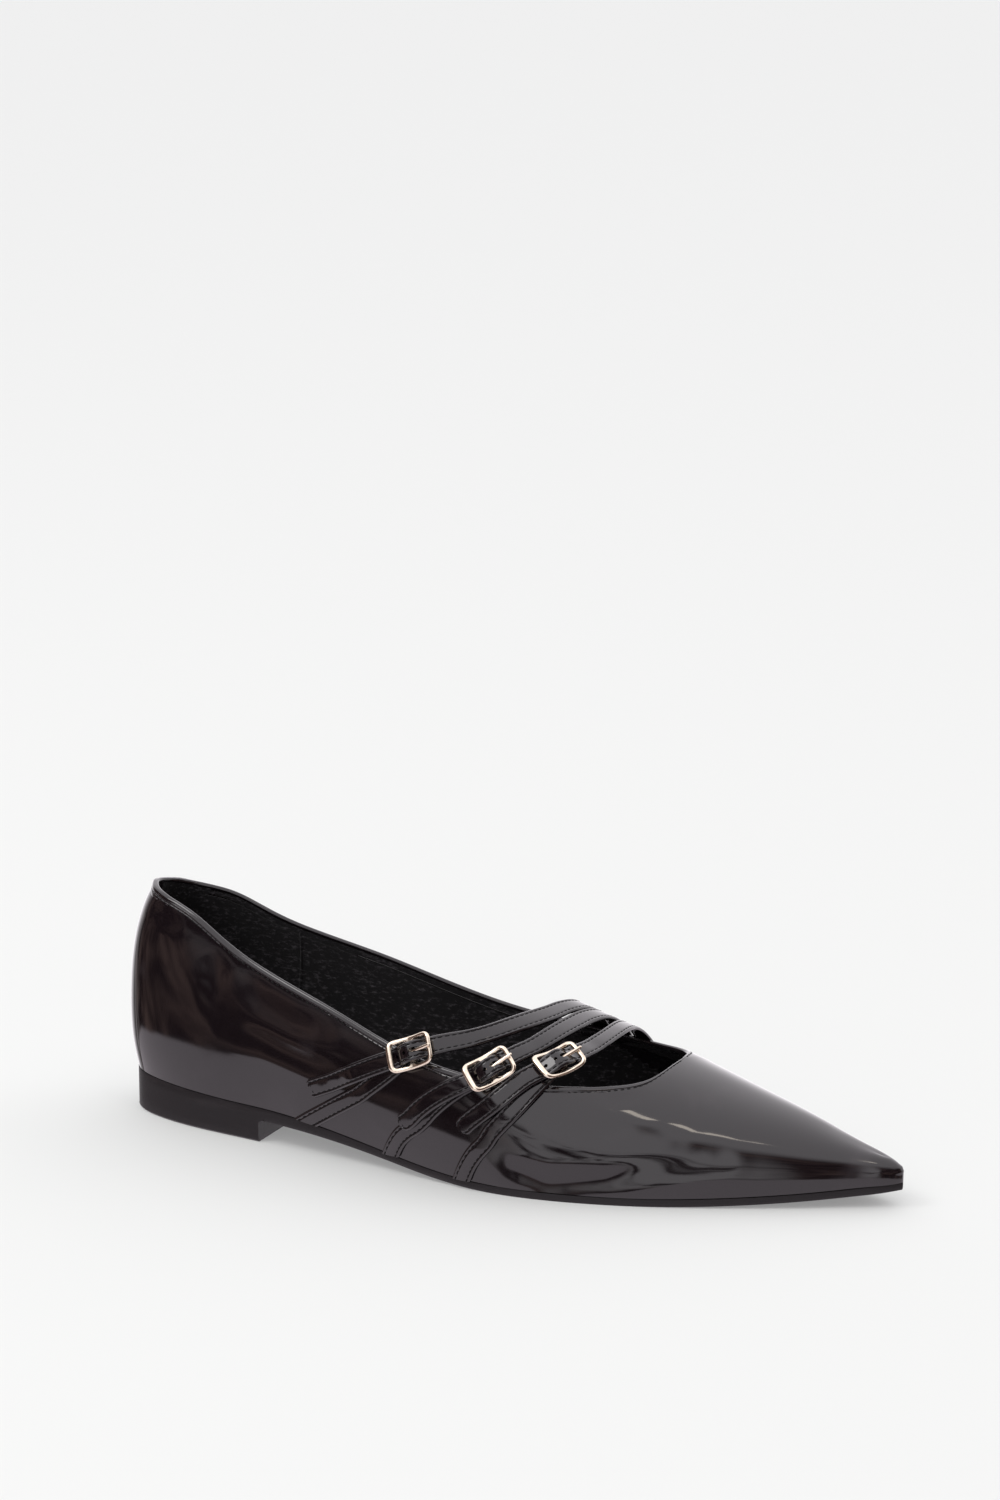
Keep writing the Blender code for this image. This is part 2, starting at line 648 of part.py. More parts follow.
def make_strap(strap, leather):
    route = Route(strap.route, strap.buckle_at)
    marks = spaced(route.start, route.end, 8.5 * MM, 1.45 * MM, 4.4 * MM)
    tip = strap.round_end * STRAP_WIDTH / 2
    marks = [marks[0]] + [marks[0] + tip * share for share in (0.12, 0.4, 1.0)] + \
            [mark for mark in marks[1:] if mark > marks[0] + tip * 1.2]
    slant = foot_slant(route, route.end - 1 * MM)
    rings = []
    for mark in marks:
        point, tangent, normal, side = route.frame(mark)
        narrow = end_round(mark - route.start, STRAP_WIDTH, strap.round_end)
        shear = slant * max(0.0, 1 - (route.end - mark) / (8 * MM))
        lift = strap_height(mark, strap.settle)
        rings.append([point + side * across * narrow + tangent * across * shear + normal * (lift + upward)
                      for across, upward in band_section(STRAP_WIDTH, STRAP_THICKNESS)])
    skin = Skin()
    sweep(skin, rings)
    piece = skin.finish("strap_" + strap.name, leather)

    place = buckle_matrix(route)
    slot_at = 2.4 * MM
    cut(piece, place @ Matrix.Translation((slot_at, 0, 0)), 1.9 * MM, 0.85 * MM)
    for step in (1, 2):
        at = slot_at - step * HOLE_PITCH
        point, tangent, normal, side = route.frame(at)
        hole = Matrix.Translation(point) @ Matrix((tangent, side, normal)).transposed().to_4x4()
        cut(piece, hole, HOLE_RADIUS, HOLE_RADIUS)
    return piece


def make_chape(strap, leather):
    """The short strap that holds the buckle: up from the sole, round the centre bar and back."""
    buckle_at = strap.chape.index(Place(*strap.route[strap.buckle_at]))
    route = Route(strap.chape, buckle_at)
    frame = buckle_matrix(Route(strap.route, strap.buckle_at))
    slant = foot_slant(route, route.start + 1 * MM)
    section = band_section(CHAPE_WIDTH, CHAPE_THICKNESS)
    rings = []
    for mark in spaced(route.start, -3.2 * MM, 9 * MM, 2.8 * MM, 4.2 * MM):
        point, tangent, normal, side = route.frame(mark)
        shear = slant * max(0.0, 1 - (mark - route.start) / (8 * MM))
        rings.append([point + side * across + tangent * across * shear + normal * (FIT + upward)
                      for across, upward in section])

    middle = BAR_RADIUS + FIT + CHAPE_THICKNESS / 2
    arc = [math.radians(angle) for angle in range(-90, 91, 30)]
    path = [(-1.6 * MM, BAR_HEIGHT - middle)]
    path += [(middle * math.cos(a), BAR_HEIGHT + middle * math.sin(a)) for a in arc]
    path += [(-1.5 * MM, BAR_HEIGHT + middle - 0.35 * MM), (-3.0 * MM, BAR_HEIGHT + middle - 1.25 * MM)]
    for k, (x, z) in enumerate(path):
        before, after = path[max(k - 1, 0)], path[min(k + 1, len(path) - 1)]
        run = Vector((after[0] - before[0], 0, after[1] - before[1])).normalized()
        out = Vector((-run.z, 0, run.x))
        rings.append([frame @ (Vector((x, across, z)) + out * (upward - CHAPE_THICKNESS / 2))
                      for across, upward in section])
    skin = Skin()
    sweep(skin, rings)
    piece = skin.finish("chape_" + strap.name, leather)
    slot = Matrix.Translation((0.2 * MM, 0, 0))
    cut(piece, frame @ slot, 2.4 * MM, PRONG_RADIUS + 0.3 * MM, corners=4)
    return piece


def buckle_matrix(route):
    """Frame of a buckle: X along the strap towards the instep, Z away from the last."""
    point, tangent, normal, side = route.frame(0.0)
    return Matrix.Translation(point) @ Matrix((tangent, side, normal)).transposed().to_4x4()


def cut(piece, place, half_length, half_width, corners=16):
    """Cuts an upright hole through a piece with a hidden cutter."""
    mesh = bpy.data.meshes.new("cutter")
    bm = bmesh.new()
    turn = Matrix.Rotation(math.pi / corners, 4, "Z")
    grow = 1 / math.cos(math.pi / corners)
    size = Matrix.Diagonal((half_length * grow, half_width * grow, 12 * MM, 1))
    bmesh.ops.create_cone(bm, cap_ends=True, segments=corners, radius1=1, radius2=1, depth=1,
                          matrix=size @ turn)
    bm.to_mesh(mesh)
    bm.free()
    cutter = bpy.data.objects.new(piece.name + "_cutter", mesh)
    bpy.context.scene.collection.objects.link(cutter)
    cutter.matrix_world = place
    cutter.hide_render = True
    cutter.display_type = "WIRE"
    join(piece, cutter, "DIFFERENCE")


def join(piece, other, operation):
    modifier = piece.modifiers.new(operation.title(), "BOOLEAN")
    modifier.operation = operation
    modifier.solver = "EXACT"
    modifier.object = other


# buckles

def frame_path():
    """Middle line of the frame, once round, with the outward direction at each point."""
    radius = BUCKLE_CORNER - BAR_RADIUS
    path = []
    for turn, (sx, sy) in enumerate(((1, 1), (-1, 1), (-1, -1), (1, -1))):
        centre = Vector((sx * (END_BAR_AT - radius), sy * (SIDE_BAR_AT - radius), 0))
        for step in range(5):
            angle = (turn + step / 4) * math.pi / 2
            out = Vector((math.cos(angle), math.sin(angle), 0))
            path.append((centre + out * radius, out))
        if turn % 2 == 0:
            reach = END_BAR_AT - radius
            for share in (0.5, 0.0, -0.5):
                path.append((Vector((sx * share * reach, sy * SIDE_BAR_AT, 0)), Vector((0, sy, 0))))
    return path


def make_buckle(strap, metal):
    """Arched frame with a centre bar, over whose ends the strap is held down."""
    place = buckle_matrix(Route(strap.route, strap.buckle_at))
    skin = Skin()
    rows = []
    for r, (point, out) in enumerate(frame_path()):
        rear = max(0.0, -point.x / END_BAR_AT) ** 4 * max(0.0, -out.x)
        half_width = BAR_RADIUS + BAR_FLAT * rear
        lift = BAR_HEIGHT + ARCH * (point.x / END_BAR_AT) ** 2
        ring = []
        for k in range(8):
            angle = (k + 0.5) * math.pi / 4
            offset = out * half_width * math.cos(angle) + Vector((0, 0, BAR_RADIUS * math.sin(angle)))
            ring.append(skin.vertex((r, k), place @ (point + offset + Vector((0, 0, lift)))))
        rows.append(ring)
    for lower, upper in zip(rows, rows[1:] + rows[:1]):
        skin.strip(lower, upper, closed=True)
    piece = skin.finish("buckle_" + strap.name, metal)

    bar = Skin()
    rings = [[place @ Vector((BAR_RADIUS * math.cos(a), y, BAR_HEIGHT + BAR_RADIUS * math.sin(a)))
              for a in (k * math.pi / 5 + 0.1 for k in range(10))] for y in (-SIDE_BAR_AT, SIDE_BAR_AT)]
    sweep(bar, rings)
    bar_piece = bar.finish("buckle_" + strap.name + "_bar", metal)
    bar_piece.hide_render = True
    bar_piece.display_type = "WIRE"
    join(piece, bar_piece, "UNION")
    return piece


def make_prong(strap, metal):
    """Wire prong: an eye round the centre bar and a point that rests on the front bar."""
    place = buckle_matrix(Route(strap.route, strap.buckle_at))
    path = [(EYE_RADIUS * math.cos(a), BAR_HEIGHT + EYE_RADIUS * math.sin(a), PRONG_RADIUS)
            for a in (math.radians(angle) for angle in range(-60, -271, -21))]
    reach = END_BAR_AT + 0.9 * MM
    rise = ARCH + BAR_RADIUS + PRONG_RADIUS + PRONG_REST - EYE_RADIUS
    for share in (0.18, 0.36, 0.54, 0.72, 0.88, 1.0):
        thin = 1 - 0.35 * share ** 2
        path.append((reach * share, BAR_HEIGHT + EYE_RADIUS + rise * share ** 1.3, PRONG_RADIUS * thin))
    rings = []
    for k, (x, z, radius) in enumerate(path):
        before, after = path[max(k - 1, 0)], path[min(k + 1, len(path) - 1)]
        run = Vector((after[0] - before[0], 0, after[1] - before[1])).normalized()
        out = Vector((-run.z, 0, run.x))
        rings.append([place @ (Vector((x, 0, z)) + out * radius * math.cos(a) +
                               Vector((0, radius * math.sin(a), 0)))
                      for a in (side * math.pi / 4 for side in range(8))])
    skin = Skin()
    sweep(skin, rings)
    return skin.finish("prong_" + strap.name, metal)


def main():
    for old in list(bpy.data.objects):
        bpy.data.objects.remove(old, do_unlink=True)
    patent = finish_named("black patent leather", (0.012, 0.010, 0.012), 0.12)
    rubber = finish_named("black sole rubber", (0.018, 0.015, 0.018), 0.55)
    suede = finish_named("black lining", (0.010, 0.009, 0.010), 0.85)
    metal = finish_named("pale gold metal", (0.80, 0.72, 0.60), 0.22, 1.0)
    make_sole_unit(rubber)
    make_upper(patent)
    make_insole(suede)
    for strap in STRAPS:
        make_strap(strap, patent)
        make_chape(strap, patent)
        make_buckle(strap, metal)
        make_prong(strap, metal)


if __name__ == "__main__":
    main()
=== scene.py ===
"""Looks of a pointed ballet flat in black patent leather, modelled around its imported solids.

The upper, sole, insole, straps and buckles are modelled finer where their solids stand. The folded
topline, the stitches, the lining's seams and the creases of the leather are added to them.
"""

from __future__ import annotations

import logging
import math
from dataclasses import dataclass, field
from enum import Enum
from typing import Any, Callable, Iterable, Optional, Sequence

import bmesh
import bpy
import numpy as np
from mathutils import Matrix, Vector
from mathutils.bvhtree import BVHTree

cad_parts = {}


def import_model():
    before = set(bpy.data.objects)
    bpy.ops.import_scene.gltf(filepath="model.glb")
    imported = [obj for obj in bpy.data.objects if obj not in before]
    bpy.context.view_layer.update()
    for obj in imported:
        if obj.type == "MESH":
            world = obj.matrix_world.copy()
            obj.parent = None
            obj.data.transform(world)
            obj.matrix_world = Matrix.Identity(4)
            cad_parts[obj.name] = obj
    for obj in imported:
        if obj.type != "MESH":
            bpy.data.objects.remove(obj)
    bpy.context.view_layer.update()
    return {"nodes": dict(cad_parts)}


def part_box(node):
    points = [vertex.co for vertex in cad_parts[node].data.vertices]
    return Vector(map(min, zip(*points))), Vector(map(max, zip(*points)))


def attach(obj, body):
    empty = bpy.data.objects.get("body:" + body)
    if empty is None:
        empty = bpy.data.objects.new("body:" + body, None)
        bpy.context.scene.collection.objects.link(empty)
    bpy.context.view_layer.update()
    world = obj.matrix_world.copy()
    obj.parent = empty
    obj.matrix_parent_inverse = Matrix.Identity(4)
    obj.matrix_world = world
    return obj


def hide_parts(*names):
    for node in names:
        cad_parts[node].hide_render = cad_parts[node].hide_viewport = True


MM = 0.001
BODY = "root"
WELD_GAP = 0.002 * MM
QUAD_ANGLE = math.radians(60)
Colour = tuple[float, float, float]

log = logging.getLogger("ballet flat")


class Side(Enum):
    """The two sides of a right shoe, by the sign of their Y."""

    OUTER = -1
    INNER = 1


class Slot(Enum):
    """The record's material slots."""

    PATENT = "patent_leather"
    SOLE = "sole"
    LINING = "lining"
    METAL = "buckle_metal"


# shader maths


class Signal:
    """A shader value with Python's operators: each one adds the Math node that works it out."""

    def __init__(self, graph: Graph, socket: bpy.types.NodeSocket) -> None:
        """Wraps an output socket of a node in the graph."""
        self.graph = graph
        self.socket = socket

    def _maths(self, operation: str, first: Signal | float, second: Signal | float) -> Signal:
        """Adds one Math node and returns its result."""
        return self.graph.add("ShaderNodeMath", {"operation": operation}, {0: first, 1: second})

    def __add__(self, other: Signal | float) -> Signal:
        """self + other"""
        return self._maths("ADD", self, other)

    def __radd__(self, other: float) -> Signal:
        """other + self"""
        return self._maths("ADD", other, self)

    def __sub__(self, other: Signal | float) -> Signal:
        """self - other"""
        return self._maths("SUBTRACT", self, other)

    def __rsub__(self, other: float) -> Signal:
        """other - self"""
        return self._maths("SUBTRACT", other, self)

    def __mul__(self, other: Signal | float) -> Signal:
        """self * other"""
        return self._maths("MULTIPLY", self, other)

    def __rmul__(self, other: float) -> Signal:
        """other * self"""
        return self._maths("MULTIPLY", other, self)

    def rise(self, start: float, end: float) -> Signal:
        """Goes smoothly from 0 at start to 1 at end.

        Args:
            start: value at which the result leaves 0.
            end: value at which the result reaches 1.

        Returns:
            The eased value.
        """
        return self.graph.add("ShaderNodeMapRange", {"interpolation_type": "SMOOTHSTEP", "clamp": True},
                              {"Value": self, "From Min": start, "From Max": end})

    def larger(self, other: Signal | float) -> Signal:
        """The larger of the two values."""
        return self._maths("MAXIMUM", self, other)


class Graph:
    """The node tree of one material or world, built from code."""

    def __init__(self, tree: bpy.types.NodeTree) -> None:
        """Empties the tree."""
        self.tree = tree
        tree.nodes.clear()

    def add(self, kind: str, settings: dict[str, Any], sockets: dict[Any, Any], output: Any = 0) -> Signal:
        """Adds a node of any type.

        Args:
            kind: Blender's name for the node type.
            settings: properties, which are set first.
            sockets: values or links for the node's inputs, by name or index.
            output: name or index of the output that the result stands for.

        Returns:
            The chosen output.
        """
        node = self.tree.nodes.new(kind)
        for name, value in settings.items():
            setattr(node, name, value)
        for name, value in sockets.items():
            if isinstance(value, Signal):
                self.tree.links.new(value.socket, node.inputs[name])
            else:
                node.inputs[name].default_value = value
        return Signal(self, node.outputs[output]) if node.outputs else Signal(self, None)

    def place(self) -> Signal:
        """The point on the piece, in metres."""
        return self.add("ShaderNodeTexCoord", {}, {}, "Object")

    def stretched(self, scale: Colour) -> Signal:
        """The point on the piece, with each axis scaled."""
        return self.add("ShaderNodeMapping", {}, {"Vector": self.place(), "Scale": scale})

    def noise(self, scale: float, detail: float = 2.0, roughness: float = 0.5,
              where: Optional[Signal] = None, warp: float = 0.0) -> Signal:
        """Soft random values between 0 and 1.

        Args:
            scale: number of spots to a metre.
            detail: octaves of finer spots.
            roughness: strength of the finer spots.
            where: the point to read, or None for the place on the piece.
            warp: how far the spots are pulled out of round.

        Returns:
            The noise value.
        """
        return self.add("ShaderNodeTexNoise", {}, {"Vector": where or self.place(), "Scale": scale,
                                                   "Detail": detail, "Roughness": roughness,
                                                   "Distortion": warp})

    def blend(self, share: Signal, first: Any, second: Any) -> Signal:
        """A colour between two colours."""
        first, second = (value if isinstance(value, Signal) else (*value, 1) for value in (first, second))
        return self.add("ShaderNodeMix", {"data_type": "RGBA"}, {0: share, 6: first, 7: second}, 2)

    def relief(self, height: Signal, depth: float, under: Optional[Signal] = None) -> Signal:
        """Raises a surface by a height.

        Args:
            height: values between 0 and 1.
            depth: rise in metres at 1.
            under: another bump below this one, if any.

        Returns:
            The normal.
        """
        sockets: dict[str, Any] = {"Height": height, "Distance": depth, "Strength": 1.0}
        if under is not None:
            sockets["Normal"] = under
        return self.add("ShaderNodeBump", {}, sockets, "Normal")


# finishes


class Finish:
    """A finish makes one material, which all pieces that wear it share."""

    name: str = ""

    def shade(self, graph: Graph) -> dict[str, Any]:
        """Returns the values and links of the main shader's sockets."""
        raise NotImplementedError

    def material(self) -> bpy.types.Material:
        """Makes the material, or finds it where it was made before.

        Returns:
            The material.
        """
        made = bpy.data.materials.get(self.name)
        if made is not None:
            return made
        made = bpy.data.materials.new(self.name)
        made.use_nodes = True
        graph = Graph(made.node_tree)
        shader = graph.add("ShaderNodeBsdfPrincipled", {}, self.shade(graph))
        graph.add("ShaderNodeOutputMaterial", {}, {"Surface": shader})
        return made


@dataclass(frozen=True)
class PatentLeather(Finish):
    """Smooth black leather under a clear lacquer, with a faint ripple and a few milky rubs."""

    name: str = "lacquered leather"
    colour: Colour = (0.0068, 0.0046, 0.0060)
    rubbed: Colour = (0.018, 0.014, 0.017)
    ripple: float = 0.010 * MM
    ripple_scale: float = 120
    grain: float = 0.0015 * MM
    gloss: float = 0.07
    rub_gloss: float = 0.26

    def shade(self, graph: Graph) -> dict[str, Any]:
        """Lacquer ripples at two scales, and rubbed patches that are a little greyer and duller.

        Args:
            graph: the material's nodes.

        Returns:
            The shader's sockets.
        """
        rubs = graph.noise(38, 3, 0.55, warp=0.6).rise(0.56, 0.78)
        ripples = graph.relief(graph.noise(self.ripple_scale, 2, 0.4), self.ripple)
        surface = graph.relief(graph.noise(1300, 2, 0.5), self.grain, ripples)
        return {
            "Base Color": graph.blend(rubs, self.colour, self.rubbed),
            "Roughness": rubs * (self.rub_gloss - self.gloss) + self.gloss,
            "IOR": 1.5,
            "Coat Weight": 0.35,
            "Coat Roughness": 0.02,
            "Normal": surface,
        }


@dataclass(frozen=True)
class StrapLeather(PatentLeather):
    """The same leather, pulled uneven by the two rows of stitches."""

    name: str = "lacquered strap leather"
    ripple: float = 0.045 * MM
    ripple_scale: float = 230


@dataclass(frozen=True)
class NappedLining(Finish):
    """Black lining with a short nap; the specks where it catches the light are painted into its colour as
    highlights.
    """

    name: str = "napped lining"
    colour: Colour = (0.0045, 0.0042, 0.0048)
    speck_sheen: Colour = (0.085, 0.080, 0.087)
    depth: float = 0.15 * MM

    def shade(self, graph: Graph) -> dict[str, Any]:
        """Painted highlight specks lie in short streaks along the shoe.

        Args:
            graph: the material's nodes.

        Returns:
            The shader's sockets.
        """
        fibres = graph.noise(900, 4, 0.75, graph.stretched((0.45, 1.0, 1.0)))
        cloudy = graph.noise(40, 2, 0.5)
        sheen_specks = (fibres * 0.85 + cloudy * 0.15).rise(0.49, 0.70)
        return {
            # painted highlight: the lighter specks stand for the nap catching the light
            "Base Color": graph.blend(sheen_specks, self.colour, self.speck_sheen),
            "Roughness": 0.92,
            "Specular IOR Level": 0.25,
            "Sheen Weight": 0.15,
            "Sheen Roughness": 0.5,
            "Normal": graph.relief(fibres, self.depth),
        }


@dataclass(frozen=True)
class MouldedRubber(Finish):
    """Matte black sole compound, a little scuffed."""

    name: str = "moulded rubber"
    colour: Colour = (0.0095, 0.0075, 0.0090)
    scuffed: Colour = (0.022, 0.018, 0.020)
    depth: float = 0.03 * MM

    def shade(self, graph: Graph) -> dict[str, Any]:
        """Fine pitting, and faint scuffs drawn out along the shoe.

        Args:
            graph: the material's nodes.

        Returns:
            The shader's sockets.
        """
        pits = graph.noise(1500, 2, 0.6)
        scuffs = graph.noise(70, 4, 0.65, graph.stretched((0.35, 1.0, 2.2))).rise(0.52, 0.80)
        return {
            "Base Color": graph.blend(scuffs, self.colour, self.scuffed),
            "Roughness": pits * 0.18 + 0.42,
            "Specular IOR Level": 0.38,
            "Normal": graph.relief(pits, self.depth),
        }


@dataclass(frozen=True)
class PlatedMetal(Finish):
    """Pale gold plating, polished, with fine handling marks."""

    name: str = "pale gold plating"
    colour: Colour = (0.86, 0.76, 0.62)
    dulled: Colour = (0.66, 0.55, 0.44)
    depth: float = 0.004 * MM

    def shade(self, graph: Graph) -> dict[str, Any]:
        """Polish that is dulled in small clouds.

        Args:
            graph: the material's nodes.

        Returns:
            The shader's sockets.
        """
        clouds = graph.noise(420, 3, 0.6)
        marks = graph.noise(2600, 2, 0.6, graph.stretched((1.0, 0.3, 1.0)))
        return {
            "Base Color": graph.blend(clouds.rise(0.45, 0.80), self.colour, self.dulled),
            "Metallic": 1.0,
            "Roughness": clouds * 0.16 + 0.10,
            "Normal": graph.relief(marks, self.depth),
        }


@dataclass(frozen=True)
class WaxedThread(Finish):
    """Black waxed sewing thread."""

    name: str = "waxed thread"
    colour: Colour = (0.002, 0.002, 0.002)
    lit: Colour = (0.012, 0.011, 0.012)

    def shade(self, graph: Graph) -> dict[str, Any]:
        """Fibres of the thread, a little lighter than the dye.

        Args:
            graph: the material's nodes.

        Returns:
            The shader's sockets.
        """
        fibres = graph.noise(4200, 2, 0.6)
        return {
            "Base Color": graph.blend(fibres.rise(0.4, 0.7), self.colour, self.lit),
            "Roughness": 0.55,
            "Specular IOR Level": 0.2,
            "Normal": graph.relief(fibres, 0.03 * MM),
        }


@dataclass(frozen=True)
class PaperFloor(Finish):
    """White studio paper."""

    name: str = "studio paper"
    colour: Colour = (0.560, 0.585, 0.565)
    glow: Colour = (0.243, 0.243, 0.243)

    def shade(self, graph: Graph) -> dict[str, Any]:
        """Plain matte white with the faintest tooth, lit a little from within to thin its shadows.

        Args:
            graph: the material's nodes.

        Returns:
            The shader's sockets.
        """
        return {
            "Base Color": (*self.colour, 1),
            "Roughness": 1.0,
            "Specular IOR Level": 0.0,
            "Emission Color": (*self.glow, 1),
            "Emission Strength": 1.0,
            "Normal": graph.relief(graph.noise(900, 2), 0.01 * MM),
        }


# work on meshes


class Bench:
    """Operator work on one piece at a time."""

    @staticmethod
    def hold(piece: bpy.types.Object) -> None:
        """Selects one piece alone and makes it active.

        Args:
            piece: the piece.
        """
        bpy.ops.object.select_all(action="DESELECT")
        piece.select_set(True)
        bpy.context.view_layer.objects.active = piece

    @staticmethod
    def keep(name: str) -> bpy.types.Object:
        """Names the active piece and puts its place in its mesh.

        Args:
            name: the piece's name.

        Returns:
            The piece.
        """
        bpy.ops.object.transform_apply(location=True, rotation=True, scale=True)
        piece = bpy.context.active_object
        piece.name = piece.data.name = name
        return piece

    @classmethod
    def edit(cls, piece: bpy.types.Object, work: Callable[[], None], everything: bool = True) -> None:
        """Runs operators on a piece in edit mode.

        Args:
            piece: the piece to shape.
            work: the operators.
            everything: whether all of the piece is selected first.
        """
        cls.hold(piece)
        bpy.ops.object.mode_set(mode="EDIT")
        bpy.ops.mesh.select_mode(type="EDGE")
        bpy.ops.mesh.select_all(action="SELECT" if everything else "DESELECT")
        work()
        bpy.ops.object.mode_set(mode="OBJECT")

    @classmethod
    def modify(cls, piece: bpy.types.Object, kind: str, **settings: Any) -> None:
        """Adds a modifier and applies it.

        Args:
            piece: the piece to change.
            kind: Blender's name for the modifier's type.
            settings: the modifier's properties.
        """
        cls.hold(piece)
        modifier = piece.modifiers.new(kind.title(), kind)
        for name, value in settings.items():
            setattr(modifier, name, value)
        bpy.ops.object.modifier_apply(modifier=modifier.name)

    @classmethod
    def smooth(cls, piece: bpy.types.Object, angle: float = 50.0) -> None:
        """Shades a piece smooth, with edges sharper than an angle in degrees left sharp."""
        cls.hold(piece)
        bpy.ops.object.shade_smooth_by_angle(angle=math.radians(angle))

    @classmethod
    def merged_copy(cls, node: bpy.types.Object, name: str) -> bpy.types.Object:
        """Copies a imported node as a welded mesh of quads.

        Args:
            node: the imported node, which is left as it is.
            name: the new piece's name.

        Returns:
            The copy, with no material.
        """
        mesh = node.data.copy()
        mesh.materials.clear()
        piece = bpy.data.objects.new(name, mesh)
        bpy.context.scene.collection.objects.link(piece)
        cls.hold(piece)
        bpy.ops.mesh.customdata_custom_splitnormals_clear()

        def weld() -> None:
            """Joins the loose triangles into quads."""
            bpy.ops.mesh.remove_doubles(threshold=WELD_GAP)
            bpy.ops.mesh.tris_convert_to_quads(face_threshold=QUAD_ANGLE, shape_threshold=QUAD_ANGLE)

        cls.edit(piece, weld)
        return piece

    @staticmethod
    def welded(node: bpy.types.Object) -> bmesh.types.BMesh:
        """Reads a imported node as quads, to walk over.

        Args:
            node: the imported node, which is left as it is.

        Returns:
            The mesh, which the caller frees.
        """
        mesh = bmesh.new()
        mesh.from_mesh(node.data)
        bmesh.ops.remove_doubles(mesh, verts=mesh.verts, dist=WELD_GAP)
        bmesh.ops.join_triangles(mesh, faces=mesh.faces, angle_face_threshold=QUAD_ANGLE,
                                 angle_shape_threshold=QUAD_ANGLE)
        return mesh

    @classmethod
    def subdivide(cls, piece: bpy.types.Object, levels: int) -> None:
        """Refines a mesh with a subdivision surface."""
        cls.modify(piece, "SUBSURF", levels=levels, render_levels=levels)

    @classmethod
    def hard_edges(cls, piece: bpy.types.Object, chosen: Callable[[bmesh.types.BMEdge], bool]) -> None:
        """Creases the edges that a test picks, so that subdivision keeps them.

        Args:
            piece: the piece before it is refined.
            chosen: says of an edge between two faces whether it stays hard.
        """
        mesh = bmesh.new()
        mesh.from_mesh(piece.data)
        crease = mesh.edges.layers.float.get("crease_edge") or mesh.edges.layers.float.new("crease_edge")
        for edge in mesh.edges:
            if len(edge.link_faces) == 2 and chosen(edge):
                edge[crease] = 1.0
        mesh.to_mesh(piece.data)
        mesh.free()

    @staticmethod
    def _rows(items: Any, name: str, width: int = 3) -> np.ndarray:
        """Reads one property of all the items of a mesh.

        Args:
            items: vertices, normals or an attribute's values.
            name: the property.
            width: how many numbers it has.

        Returns:
            A row for each item.
        """
        flat = np.empty(len(items) * width)
        items.foreach_get(name, flat)
        return flat.reshape(-1, width)

    @classmethod
    def points(cls, piece: bpy.types.Object) -> np.ndarray:
        """The piece's vertices as rows of X, Y and Z."""
        return cls._rows(piece.data.vertices, "co")

    @classmethod
    def normals(cls, piece: bpy.types.Object) -> np.ndarray:
        """The directions of the piece's vertices."""
        return cls._rows(piece.data.vertex_normals, "vector")

    @classmethod
    def marks(cls, piece: bpy.types.Object) -> np.ndarray:
        """Where each vertex of a swept band lies round its section."""
        return cls._rows(piece.data.attributes["turn"].data, "value", 1).ravel()

    @staticmethod
    def move(piece: bpy.types.Object, points: np.ndarray) -> None:
        """Puts the piece's vertices at new places."""
        piece.data.vertices.foreach_set("co", np.ascontiguousarray(points, float).ravel())
        piece.data.update()

    @staticmethod
    def tree(piece: bpy.types.Object) -> BVHTree:
        """A search tree of the piece's faces."""
        return BVHTree.FromPolygons([v.co for v in piece.data.vertices],
                                    [list(face.vertices) for face in piece.data.polygons])

    @staticmethod
    def dress(piece: bpy.types.Object, finish: Finish, slot: Slot, *replaced: str) -> bpy.types.Object:
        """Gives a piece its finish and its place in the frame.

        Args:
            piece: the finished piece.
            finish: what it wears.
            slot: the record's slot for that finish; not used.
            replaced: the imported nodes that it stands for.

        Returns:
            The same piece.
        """
        if not piece.data.materials:
            piece.data.materials.append(finish.material())
        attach(piece, BODY)
        if replaced:
            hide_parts(*replaced)
        log.info("%s: %d faces, %s", piece.name, len(piece.data.polygons), finish.name)
        return piece


# lines on the leather


